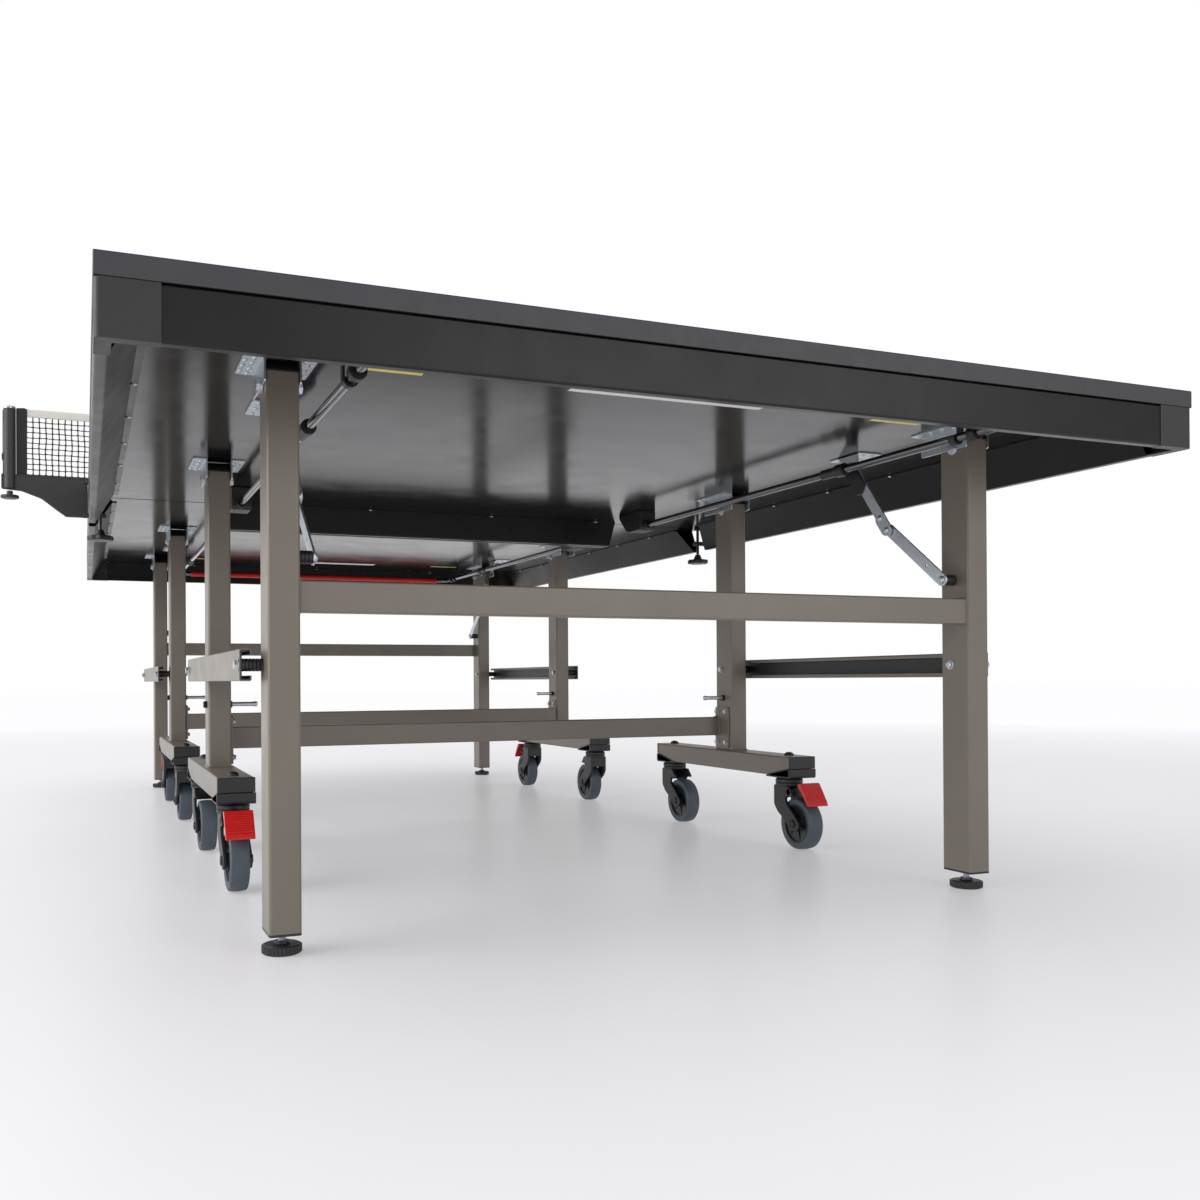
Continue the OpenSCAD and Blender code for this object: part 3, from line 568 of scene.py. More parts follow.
def apron_pieces(half):
    steel = Solid()
    # side rail: outer web, bottom flange, inner web that slopes in to the board, and top flange
    section = sheet_outline(
        [(APRON_X - 1, UNDER), (APRON_X - 1, APRON_Z + 1), (RAIL_IN + 0.6, APRON_Z + 1),
         (RAIL_TOP + 0.6, UNDER - 1), (RAIL_TOP - 9.5, UNDER - 1)], 2, 1.6)

    def sloped(co):
        if co.y < RAIL_END + 1:
            co.y += max(0, co.z - APRON_Z) * RAIL_SLOPE / APRON_H
        return co

    steel.prism(section, "y", RAIL_END, BOARD_OUT - CORNER, 0.25, shape=sloped)
    steel.both()
    # end rail with the angle that holds it to the board
    end_x = HALF_W - CORNER
    end = [(APRON_Y - 2, UNDER - 2.5), (APRON_Y - 2, APRON_Z + 1), (APRON_Y - 15, APRON_Z + 1)]
    steel.prism(sheet_outline(end, 2, 2.5), "x", -end_x, end_x, 0.3)
    angle = moved([(-4, -12), (-4, -1), (-23, -1)], APRON_Y, UNDER)
    steel.prism(sheet_outline(angle, 2, 1.5), "x", -end_x, end_x, 0.3)
    # cross-piece beside the net, with ends that slope outwards to the board
    cross = sheet_outline(
        [(BOARD_IN + 15.5, UNDER), (BOARD_IN + 15.5, APRON_Z + 1), (BOARD_IN + 1.5, APRON_Z + 1),
         (BOARD_IN + 1.5, APRON_Z + 9)], 2, 2.5)

    def raked(co):
        co.x = math.copysign(CROSS_LOW + (co.z - APRON_Z) * CROSS_SLOPE / APRON_H, co.x)
        return co

    steel.prism(cross, "x", -CROSS_LOW, CROSS_LOW, 0.3, shape=raked)
    tab = moved([(16, -14), (16, -1), (34, -1)], BOARD_IN, UNDER)
    for x in CROSS_TABS:
        steel.prism(sheet_outline(tab, 1.6, 2), "x", x - 12, x + 12, 0.3)
    half.show("apron_steel", steel, "top", "apron_paint", "apron")

    # screws through the rails' flanges, the angle and the tabs
    screws = Solid()
    for y in RAIL_SCREWS:
        wood_screw(screws, RAIL_TOP - 5, y, 1.9, 3.4, 2.2)
    screws.both()
    for x in (-420, 0, 420):
        wood_screw(screws, x, APRON_Y - 15, 1.9, 3.6, 2.2)
    for x in CROSS_TABS:
        wood_screw(screws, x, BOARD_IN + 26, 1.7, 3.4, 2.2)
    half.show("apron_screws", screws, "top", "zinc_plating")
    # dark blocks at the rail screws: painted shade that stands in for shallow notches in the rail
    notch_shades = Solid()
    for y in RAIL_SCREWS:
        notch_shades.block((RAIL_TOP - 1, y - 6, UNDER - 4.5), (RAIL_TOP + 4.5, y + 6, UNDER - 1.2), 0.5)
    half.show("rail_notch_painted_shade", notch_shades.both(), "top", "black_plastic")

    caps = Solid()
    x0, x1, y0, y1 = HALF_W - CORNER, HALF_W - 0.5, BOARD_OUT - CORNER, BOARD_OUT - 0.5
    shell = sheet_outline([(x0, y1 - 1.2), (x1 - 1.2, y1 - 1.2), (x1 - 1.2, y0)], 2.4, 6)
    caps.prism(shell, "z", APRON_Z - 0.5, UNDER, 0.5)
    foot = rounded(
        [(x0, y1 - 1), (x0, y1 - 17), (x1 - 17, y1 - 17), (x1 - 17, y0), (x1 - 1, y0), (x1 - 1, y1 - 1)],
        [1, 2, 4, 2, 1, 5], True)
    caps.prism(foot, "z", APRON_Z - 0.5, APRON_Z + 2, 0.7)
    for at in ((x0 + 10, y1 - 9), (x1 - 9, y0 + 10)):
        caps.lathe((*at, APRON_Z - 0.45), "z", [(0, 0), (3.4, 0), (3.4, 1.4), (0, 1.4)], 20)
    half.show("corner_covers", caps.both(), "top", "corner_plastic", "corner_caps")


def hinge_pieces(half):
    plates = Solid()
    low = PIVOT_Z - 2
    for y, out in ((T_Y, 40), (OUTER_Y, 30)):
        y0, y1 = y - BRACKET_IN, y + out
        for s, face in ((-1, LEG_IN - 0.5), (1, LEG_OUT + 0.5)):
            # cheek: a long plate with a round boss at the bolt
            boss = arc(y, PIVOT_Z, 10, 191.5, 348.5, 10)
            cheek = [(y0, UNDER), *arc(y0 + 3, low + 3, 3, 180, 270, 4), *boss]
            cheek += [*arc(y1 - 3, low + 3, 3, 270, 360, 4), (y1, UNDER)]
            lo, hi = sorted((face, face + s * 2.5))
            plates.prism(cheek, "x", lo, hi, 0.35)
            flange = round_rect(25, y1 - y0, 3, face + s * 12.5, (y0 + y1) / 2)
            plates.prism(flange, "z", UNDER - 2.5, UNDER, 0.35)
            bend = face + s * 2
            plates.sweep([(bend, y0 + 2, UNDER - 3), (bend, y1 - 2, UNDER - 3)], 1.4, 8)
            step = (y1 - y0 - 26) / 3
            for count, x, y_first in ((4, 10.5, y0 + 8), (3, 20.5, y0 + 18)):
                for i in range(count):
                    wood_screw(plates, face + s * x, y_first + step * i)
            plates.hex_bolt((face + s * 2.5, y, PIVOT_Z), (s, 0, 0), 12, 6)
        plates.rod((LEG_IN - 6, y, PIVOT_Z), (LEG_OUT + 6, y, PIVOT_Z), 4)
    # bracket of the folding stay
    y, z = STAY_BOARD
    y0, y1 = y - BRACKET_IN, y + 18
    plates.prism(round_rect(46, y1 - y0, 4, STAY_X + 25, (y0 + y1) / 2), "z", UNDER - 2.5, UNDER, 0.35)
    cheek = rounded(
        [(y - 45, UNDER), (y - 12, z - 8), (y - 3, z - 13), (y + 8, z - 9), (y + 10, z - 4),
         (y + 10, UNDER)], [0, 8, 8, 8, 4, 0], True)
    plates.prism(cheek, "x", STAY_X + 2, STAY_X + 4.5, 0.35)
    for x in (18, 38):
        for t in (0.12, 0.5, 0.88):
            wood_screw(plates, STAY_X + x, y0 + (y1 - y0) * t)
    plates.rod((STAY_X - 9, y, z), (STAY_X + 4, y, z), 4)
    plates.hex_bolt((STAY_X - 4.2, y, z), (-1, 0, 0), 11, 5)
    half.show("hinge_plates", plates.both(), "top", "zinc_plating", "hinge_brackets")


def guide_pieces(half):
    hooks = Solid()
    strap = [(ROD_X + HOOK_R, UNDER), (ROD_X + HOOK_R, PIVOT_Z)]
    strap += arc(ROD_X, PIVOT_Z, HOOK_R, -15, -165, 12)
    strap += [(ROD_X - HOOK_R, PIVOT_Z + 2.5)]
    hooks.prism(sheet_outline(strap, 2.8, 1), "y", 1199, 1211, 0.6)
    housing = rounded([(230, 0), (230, -40), (224, -46), (172, -46), (156, -42), (122, -10), (118, 0)],
                      [0, 2, 2, 8, 8, 4, 0], True)
    hooks.prism(moved(housing, 0, UNDER), "x", ROD_X - 20, ROD_X + 20, 2.2, segments=3)
    for x in (-12, -4, 4, 12):
        hooks.block((ROD_X + x - 1, 176, UNDER - 46.8), (ROD_X + x + 1, 222, UNDER - 45), 0.4)
    collar = [(7.2, 0), (11, 0), (11, 5), (9.5, 6.5), (7.2, 6.5)]
    hooks.lathe((ROD_X, 229, PIVOT_Z), "y", collar, 28, True)
    half.show("rod_guides", hooks.both(), "top", "black_plastic", "bar_guides")


# ---- legs and trolley


def leg_cap(solid, y):
    """Rounded black cap on a leg's top, with a groove round it."""
    half = math.sqrt(CAP_R ** 2 - (LEG_TOP - PIVOT_Z) ** 2)
    start = math.degrees(math.asin((LEG_TOP - PIVOT_Z) / CAP_R))
    crown = arc(y, PIVOT_Z, CAP_R, start, 180 - start, 20)
    solid.prism(crown, "x", LEG_IN + 0.2, LEG_OUT - 0.2, 0.8)
    solid.block((LEG_IN - 0.2, y - half - 0.6, LEG_TOP - 0.5),
                (LEG_OUT + 0.2, y + half + 0.6, LEG_TOP + 2.4), 0.5)


def leg_section(y):
    """Outline of a leg's tube from above."""
    return moved(round_rect(LEG_OUT - LEG_IN, LEG_D, 4.5, n=6), LEG_X, y)


def stretcher(solid, y, z, seat, weld, end):
    """Welds a flat bar between the legs to the right leg, mirrors everything and adds the bar."""
    w, h = STRETCHER_W / 2, STRETCHER_H / 2
    corners = ((y - w, z - h), (y + w, z - h), (y + w, z + h), (y - w, z + h))
    solid.bead([(seat, p, q) for p, q in corners], weld)
    solid.both()
    solid.prism(round_rect(STRETCHER_W, STRETCHER_H, 3, y, z, 5), "x", -end, end, 0)


def bush(solid, at, side, length, r):
    """Ribbed plastic bush along X."""
    profile = [(0, 0), (r, 0)]
    steps = max(3, int(length / 4))
    for i in range(steps):
        a, b = length * i / steps, length * (i + 1) / steps
        profile += [(r, a + 0.4), (r, b - 1), (r - 0.8, b - 0.7)]
    profile += [(r - 0.8, length), (0, length)]
    solid.lathe(at, (side, 0, 0), profile, 28)


def link_fasteners(solid, y):
    """Bolt head on the link bar's web and nut inside the leg."""
    solid.rod((LEG_OUT + 26, y, LINK_Z), (LEG_OUT + 32, y, LINK_Z), 3.95)
    solid.hex_bolt((LEG_OUT + 30.2, y, LINK_Z), (1, 0, 0), 12, 5.8)
    solid.hex_bolt((LEG_IN, y, LINK_Z), (-1, 0, 0), 11, 5)


def outer_leg_pieces(half):
    steel = Solid()
    steel.prism(leg_section(OUTER_Y), "z", LEG_BOTTOM, LEG_TOP, 0.4)
    stretcher(steel, *OUTER_STRETCHER, LEG_IN - 0.3, 1.5, LEG_IN + 1)
    half.show("outer_legs", steel, "legs", "frame_paint", "leg_frame")

    y, z = STAY_LEG
    plastic = Solid()
    leg_cap(plastic, OUTER_Y)
    plastic.prism(leg_section(OUTER_Y), "z", LEG_BOTTOM - 3, LEG_BOTTOM, 1,
                  holes=[ring(LEG_X, OUTER_Y, 5.3)])
    bush(plastic, (LEG_OUT, LINK_OUT_Y, LINK_Z), 1, 27.5, 8)
    bush(plastic, (STAY_X + 4.2, y, z), 1, LEG_IN - STAY_X - 4.2, 8.5)
    half.show("leg_plastic", plastic.both(), "legs", "black_plastic", "leg_fittings")

    bolts = Solid()
    link_fasteners(bolts, LINK_OUT_Y)
    bolts.rod((STAY_X - 3.5, y, z), (STAY_X + 6, y, z), 3.95)
    head = [(0, 0), (6.5, 0), (6.5, 1.2), (5.2, 2.8), (2.5, 3.7), (0, 3.8)]
    bolts.lathe((STAY_X + 0.3, y, z), (-1, 0, 0), head, 28)
    half.show("leg_bolts", bolts.both(), "legs", "zinc_plating")


def trolley_pieces(half):
    steel = Solid()
    steel.prism(leg_section(T_Y), "z", BAR_TOP - 1, LEG_TOP, 0.4)
    side = [(BAR_IN, BAR_TOP), (BAR_IN, BAR_BOTTOM + 16), (BAR_IN + 74, BAR_BOTTOM),
            (BAR_OUT - 74, BAR_BOTTOM), (BAR_OUT, BAR_BOTTOM + 16), (BAR_OUT, BAR_TOP)]
    steel.prism(side, "x", LEG_X - 30, LEG_X + 30, 3.5, segments=4)
    foot = ((-20, -30), (20, -30), (20, 30), (-20, 30))
    steel.bead([(LEG_X + x, T_Y + y, BAR_TOP + 0.3) for x, y in foot], 2)
    # bolted end plate, and the stretcher welded on it
    steel.prism(round_rect(50, 88, 5, T_Y - 2, 231), "x", LEG_IN - 4, LEG_IN - 0.1, 0.5)
    stretcher(steel, *T_STRETCHER, LEG_IN - 4, 1.4, LEG_IN - 3)
    half.show("trolley_steel", steel, "trolley", "frame_paint", "trolley_frame", "trolley_stretcher")

    plastic = Solid()
    shoulder, slope = SHOE_SPLIT - 0.3, BAR_BOTTOM + 3.4
    for y_end, d in ((BAR_OUT, 1), (BAR_IN, -1)):
        # upper cap, lower shoe and the shoe's two cheeks, measured outwards from the bar's end
        upper = rounded([(-1, SHOE_SPLIT + 0.3), (3, SHOE_SPLIT + 0.3), (3, BAR_TOP), (-1, BAR_TOP)],
                        [0, 1, 2.5, 0], True)
        plastic.prism([(y_end + d * p, q) for p, q in upper], "x", LEG_X - 30, LEG_X + 30, 1.2)
        lower = rounded(
            [(3.5, shoulder), (3.5, SHOE_BOTTOM), (-76, SHOE_BOTTOM), (-76, BAR_BOTTOM - 0.1), (-60, slope),
             (-1, shoulder)], [1.5, 5, 1, 1, 1, 0], True)
        plastic.prism([(y_end + d * p, q) for p, q in lower], "x", LEG_X - 31, LEG_X + 31, 1.4, segments=3)
        cheek = [(-1, shoulder), (-60, slope), (-60, BAR_BOTTOM - 1), (-1, BAR_BOTTOM)]
        for x in (LEG_X - 30.2, LEG_X + 30.2):
            plastic.prism([(y_end + d * p, q) for p, q in cheek], "x", x - 0.8, x + 0.8, 0.3)
    plug = [(0, 0), (9.6, 0), (9.6, 2.4), (8.6, 4), (6, 6), (3, 7), (0, 7.2)]
    for caster_y in CASTERS.values():
        plastic.lathe((LEG_X, caster_y, BAR_TOP - 0.2), "z", plug, 32)
    leg_cap(plastic, T_Y)
    bush(plastic, (LEG_OUT, LINK_IN_Y, LINK_Z), 1, 27.5, 8)
    bush(plastic, (LEG_OUT, T_Y, STOP_Z), 1, 6, 6.5)
    bush(plastic, (LEG_IN, T_Y, STOP_Z), -1, 5, 6.5)
    half.show("trolley_plastic", plastic.both(), "trolley", "black_plastic", "trolley_caps")

    bolts = Solid()
    link_fasteners(bolts, LINK_IN_Y)
    pin = [(0, 0), (2.4, 0.5), (4.4, 2), (5, 5), (4.4, 8), (4, 9.5), (4, 70), (4, 94.5), (3.2, 95), (0, 95)]
    bolts.lathe((LEG_IN - 51, T_Y, STOP_Z), "x", pin, 24)
    for y in (T_Y - 19, T_Y + 15):
        for z in (199, 265):
            bolts.hex_bolt((LEG_IN - 4, y, z), (-1, 0, 0), 8.5, 5.5)
    half.show("trolley_bolts", bolts.both(), "trolley", "zinc_plating", "trolley_pins")


# ---- casters and feet


def caster_pieces(half, side, sx, end, y):
    where = f"{side}_{end}"
    braked = end == "outer"
    axle_y = y + TRAIL
    fork = Solid()
    fork.lathe((LEG_X, y, 0), "z", [
        (0, 138.3), (20, 138.3), (24, 137.4), (26.6, 134.5), (27, 131), (26.4, 128.6), (25.2, 128),
        (26.6, 127.3), (26.6, 123), (25, 121.4), (0, 121.4)], 48)
    # straight neck, a small gap over the tyre and a wide strut down to the axle
    plate = rounded(
        [(-20, 123), (-20, 84), (-8, 70), (6, 61), (31, 40), (46, 35), (56, 39), (61, 48), (58, 56),
         (42, 71), (27, 83), (20, 90), (17, 97), (24, 104), (40, 104), (40, 108), (26, 123)],
        [0, 14, 8, 20, 20, 14, 12, 9, 9, 30, 12, 8, 4, 3, 2, 3, 0], True)
    for x in (17, -23):
        fork.prism(moved(plate, y), "x", LEG_X + x, LEG_X + x + 6, 1.3, segments=3)
    fork.block((LEG_X - 18, y - 20, 96), (LEG_X + 18, y - 15, 123), 1.5)
    head = [(0, 0), (8, 0), (8, 2), (7, 3.2), (4.5, 3.4), (4, 2.6), (0, 2.6)]
    for s in (-1, 1):
        fork.lathe((LEG_X + s * 22.5, axle_y, AXLE_Z), (s, 0, 0), head, 28)
    pin_y, pin_z = y + PEDAL_PIN[0], PEDAL_PIN[1]
    if braked:
        for x in (LEG_X - 20, LEG_X + 20):
            fork.prism(ring(pin_y, pin_z, 7), "x", x - 3, x + 3, 0.8)
    half.show(f"{where}_fork", fork, f"caster_{where}", "black_plastic", f"fork_{where}", sx=sx)
    pins = Solid()
    pins.rod((LEG_X - 22, axle_y, AXLE_Z), (LEG_X + 22, axle_y, AXLE_Z), 4.9)
    pins.rod((LEG_X, y, 138), (LEG_X, y, 172), 5)
    if braked:
        pins.rod((LEG_X - 21.8, pin_y, pin_z), (LEG_X + 21.8, pin_y, pin_z), 3)
    half.show(f"{where}_axle", pins, f"caster_{where}", "zinc_plating", sx=sx)

    centre = (LEG_X, axle_y, AXLE_Z)
    tread = [(37.5, -13.5)] + arc(44, -9.6, 6, 260, 325, 7) + [(49.7, -6.5), (50, -3)]
    tread += [(50, 3), (49.7, 6.5)] + arc(44, 9.6, 6, 35, 100, 7) + [(37.5, 13.5)]
    tyre = Solid().lathe(centre, "x", tread, 72, True)
    half.show(f"{where}_tyre", tyre, f"roller_{where}", "tyre_rubber", f"wheel_{where}", sx=sx)
    rim = Solid()
    face = [(37.6, 13.4), (36.4, 14.4), (34.6, 14.2), (33.4, 11), (14.5, 8.6), (12.4, 10.2),
            (12.2, 15.6), (11.2, 16.4), (5.1, 16.4)]
    rim.lathe(centre, "x", face + [(r, -t) for r, t in reversed(face)], 60, True)
    for i in range(6):
        turn = Matrix.Translation(centre) @ Matrix.Rotation(math.radians(60 * i + 15), 4, "X")
        for x in (-10.2, 10.2):
            rim.block((x - 1.5, -1.1, 12.9), (x + 1.5, 1.1, 33.9), 0.6, turn)
    half.show(f"{where}_rim", rim, f"roller_{where}", "rim_plastic", sx=sx)
    if braked:
        pedal_pieces(half, side, sx, y)


def pedal_pieces(half, side, sx, y):
    """Black mechanism on the pin in the fork, and the red plate it carries over the tyre."""
    arm = Solid()
    outline = rounded(
        [(22, 106), (22, 117), (30, 118.5), (58, 123.5), (64, 119), (62, 108)], [3, 4, 3, 3, 3, 0], True)
    over_tyre = arc(52.6, 53.9, 52, 80, 103, 6)
    arm.prism(moved(outline + over_tyre, y), "x", LEG_X - 13, LEG_X + 13, 1.2, segments=3,
              holes=[moved(ring(*PEDAL_PIN, 3.1, 16), y)])
    half.show(f"{side}_pedal_arm", arm, f"pedal_{side}", "black_plastic", sx=sx)
    pedal = Solid()
    plate = rounded(
        [(57, 126), (61, 131.5), (66.5, 131.5), (76, 118.5), (90, 97.5), (93.5, 90), (89.5, 88.2),
         (82.5, 98), (67.5, 116)], [2, 3, 4, 20, 14, 1.6, 1.6, 14, 10], True)
    pedal.prism(moved(plate, y), "x", LEG_X - 23, LEG_X + 23, 1.1, segments=3)
    # ribs across the slope
    for i in range(9):
        t = 0.06 + 0.105 * i
        p, q = y + (67.8 + 22.4 * t), 130 - 32.5 * t
        pedal.sweep([(LEG_X - 20.5, p, q), (LEG_X + 20.5, p, q)], 0.9, 8)
    half.show(f"{side}_pedal", pedal, f"pedal_{side}", "brake_red", f"brake_{side}", sx=sx)


def thread(core, crest, low, last, high, rises):
    """Profile of a threaded stem; rises are those of the flanks' ends and of one whole turn."""
    up, over, down, pitch = rises
    profile = [(0, low)]
    z = low
    while z < last:
        profile += [(core, z), (crest, z + up), (crest, z + over), (core, z + down)]
        z += pitch
    return profile + [(core, high), (0, high)]


def foot_pieces(half, side, sx):
    disc = Solid()
    outline = []
    for i in range(30):
        for turn, r in ((0, 23.6), (2.4, 23.8), (4.6, 24.9), (7.4, 24.9), (9.6, 23.8)):
            outline.append(polar(LEG_X, OUTER_Y, r, 12 * i + turn))
    disc.prism(outline, "z", 1.6, 11, 0.5)
    base = (LEG_X, OUTER_Y, 0)
    disc.lathe(base, "z", [(0, 0), (21.5, 0), (23, 0.8), (23, 2), (0, 2)], 48)
    neck = [(0, 10.6), (23.2, 10.6), (22, 12), (12, 12), (9.5, 13), (9, 16), (0, 16)]
    disc.lathe(base, "z", neck, 48)
    half.show(f"{side}_foot", disc, f"leveller_{side}", "black_plastic", f"foot_{side}", sx=sx)
    stem = Solid().lathe(base, "z", thread(4.1, 4.95, 15.5, 58, 59, (0.5, 0.8, 1.3, 1.5)), 20)
    half.show(f"{side}_stem", stem, f"leveller_{side}", "zinc_plating", sx=sx)


# ---- folding gear


def channel(open_x, web_x, lip, half_height, t, r):
    """Outline of a lipped channel at the link bars' height, open towards the leg."""
    lower = [(open_x, -lip), (open_x, -half_height), (web_x, -half_height)]
    upper = [(x, -z) for x, z in reversed(lower)]
    return sheet_outline(moved(lower + upper, 0, LINK_Z), t, r)


def between(a, b, t):
    return (a[0] + (b[0] - a[0]) * t, a[1] + (b[1] - a[1]) * t)


def gear_pieces(half):
    y0, y1 = LINK_IN_Y - 20, LINK_OUT_Y + 9
    bars = Solid().prism(channel(580.8, 594.2, 13, 19.2, 1.6, 1.8), "y", y0, y1, 0.3).both()
    half.show("link_channels", bars, "links", "frame_paint", "link_bars")
    # black plastic liner inside each channel; its dark colour also stands in for the shade inside the
    # channel, so it is partly painted shade
    liner_painted_shade = Solid().prism(channel(581.9, 592.4, 16, 17.6, 1.2, 0.8), "y", y0 + 0.4, y1 - 0.4, 0.2).both()
    half.show("link_liners_painted_shade", liner_painted_shade, "links", "black_plastic")

    # the stay's knee stands 20 mm off the line between its two pivots
    (y1, z1), (y2, z2) = STAY_LEG, STAY_BOARD
    span = math.hypot(y2 - y1, z2 - z1)
    knee = (y1 + (y2 - y1) / 2 - 20 * (z2 - z1) / span, z1 + (z2 - z1) / 2 + 20 * (y2 - y1) / span)
    rivet = [(0, 0), (5.4, 0), (5, 1), (3.2, 1.9), (0, 2.2)]
    upper = Solid()
    upper.prism(bar_outline(STAY_BOARD, knee, 20), "x", STAY_X - 3.5, STAY_X - 0.5, 0.5,
                holes=[ring(y2, z2, 4.05, 20)])
    overlay = bar_outline(between(knee, STAY_BOARD, 0.02), between(knee, STAY_BOARD, 0.17), 24)
    upper.prism(overlay, "x", STAY_X - 5.6, STAY_X - 3.4, 0.5)
    for t in (0, 0.18):
        upper.lathe((STAY_X - 5.5, *between(knee, STAY_BOARD, t)), (-1, 0, 0), rivet, 24)
    half.show("stay_upper_links", upper.both(), "stays_upper", "zinc_plating", "stay_upper")
    # black lever that covers the link's upper end
    lever = Solid()
    outline = rounded(
        [(918, 713), (922, 718), (934, 718), (942, 706), (966, 674), (957, 658), (944, 658), (929, 678),
         (918, 698)], [5, 6, 8, 20, 6, 5, 6, 20, 8], True)
    lever.prism(outline, "x", STAY_X - 6.5, STAY_X - 3.4, 1, segments=3, holes=[ring(y2, z2, 7.2, 24)])
    half.show("stay_levers", lever.both(), "stays_upper", "black_plastic")
    lower = Solid()
    lower.prism(bar_outline(STAY_LEG, knee, 20), "x", STAY_X + 0.5, STAY_X + 3.5, 0.5,
                holes=[ring(y1, z1, 4.05, 20), ring(*between(knee, STAY_LEG, 0.72), 2.4, 16)])
    lower.lathe((STAY_X + 3.4, *knee), (1, 0, 0), rivet, 24)
    half.show("stay_lower_links", lower.both(), "stays_lower", "zinc_plating", "stay_lower")

    rods = Solid()
    for s in (-1, 1):
        line = [(s * ROD_X, 200, PIVOT_Z), (s * ROD_X, ROD_BEND_Y, PIVOT_Z)]
        line += [(s * p, q, PIVOT_Z) for p, q in arc(ROD_X - 30, ROD_BEND_Y, 30, 8, 90, 12)]
        line += [(s * (ROD_X - 36), GRIP_Y, PIVOT_Z)]
        rods.sweep(line, ROD_R, 20)
    half.show("release_rods", rods, "release", "rod_steel", "release_bar")
    collars = Solid()
    collars.lathe((ROD_X, 885, PIVOT_Z), "y", [
        (6.4, 0), (8.2, 0), (8.8, 0.8), (8.8, 38), (10.6, 39), (11.4, 41), (11.4, 60.8), (10.2, 62),
        (6.4, 62)], 32, True)
    collars.lathe((ROD_X, 1235, PIVOT_Z), "y", [
        (6.4, 0), (10.4, 0), (11.4, 1), (11.4, 5.5), (10.7, 6.2), (11.4, 7), (11.4, 14), (10.4, 15),
        (6.4, 15)], 32, True)
    half.show("release_collars", collars.both(), "release", "black_plastic")
    x = ROD_X - 35
    sleeve = [(6.4, 0), (8.3, 0), (9, 0.8), (9, 6), (8.6, 7.5)]
    sleeve += [(r, 2 * x - t) for r, t in reversed(sleeve)]
    grip = Solid().lathe((-x, GRIP_Y, PIVOT_Z), "x", sleeve, 32, True)
    half.show("release_grip", grip, "release", "grip_red")


# ---- net


def post_pieces():
    edge, top = HALF_W, ARM_TOP
    low = UNDER - 47
    arms = Solid()
    belly = rounded(
        [(edge + 0.5, low), (edge + 44, low), (edge + 62, low + 13), (edge + 92, low + 36),
         (edge + 130, low + 50), (POST_X + 16, UNDER + 6), (POST_X + 16, top), (edge + 0.5, top)],
        [2, 8, 14, 24, 20, 3, 3, 1], True, 8)
    arms.prism(belly, "y", NET_Y - 5, NET_Y + 5, 1.2, segments=3)
    # raised rim along the upper edge, the clamp's jaws and the web between them
    arms.block((edge + 1, NET_Y - 6, top - 3), (POST_X + 15, NET_Y + 6, top), 0.8)
    arms.block((edge - 34, NET_Y - 12, TABLE_H), (edge + 6, NET_Y + 7, TABLE_H + 3), 1)
    arms.block((edge - 4, NET_Y - 12, TABLE_H + 1), (edge + 6, NET_Y + 7, top), 1.5)
    arms.block((SCREW_X - 12, NET_Y - 7, low), (edge + 10, NET_Y + 7, low + 10), 1.5)
    post = [(0, UNDER + 7), (11.4, UNDER + 7), (12, UNDER + 8), (12, NET_TOP - 5), (11.2, NET_TOP - 4),
            (0, NET_TOP - 4)]
    arms.lathe((POST_X, NET_Y, 0), "z", post, 48)
    show("net_post_arms", arms.both(), "near_top", "corner_plastic", replaces=["net_posts"])
    rings = Solid()
    rings.lathe((POST_X, NET_Y, NET_TOP - 4.4), "z", [
        (0, 0), (11.2, 0), (12.2, 0.8), (12.2, 1.6), (11, 2.2), (12.3, 2.6), (12.5, 3.4), (12, 5),
        (10.5, 5.4), (9.5, 4.2), (0, 4)], 48)
    show("net_post_rings", rings.both(), "near_top", "chrome")


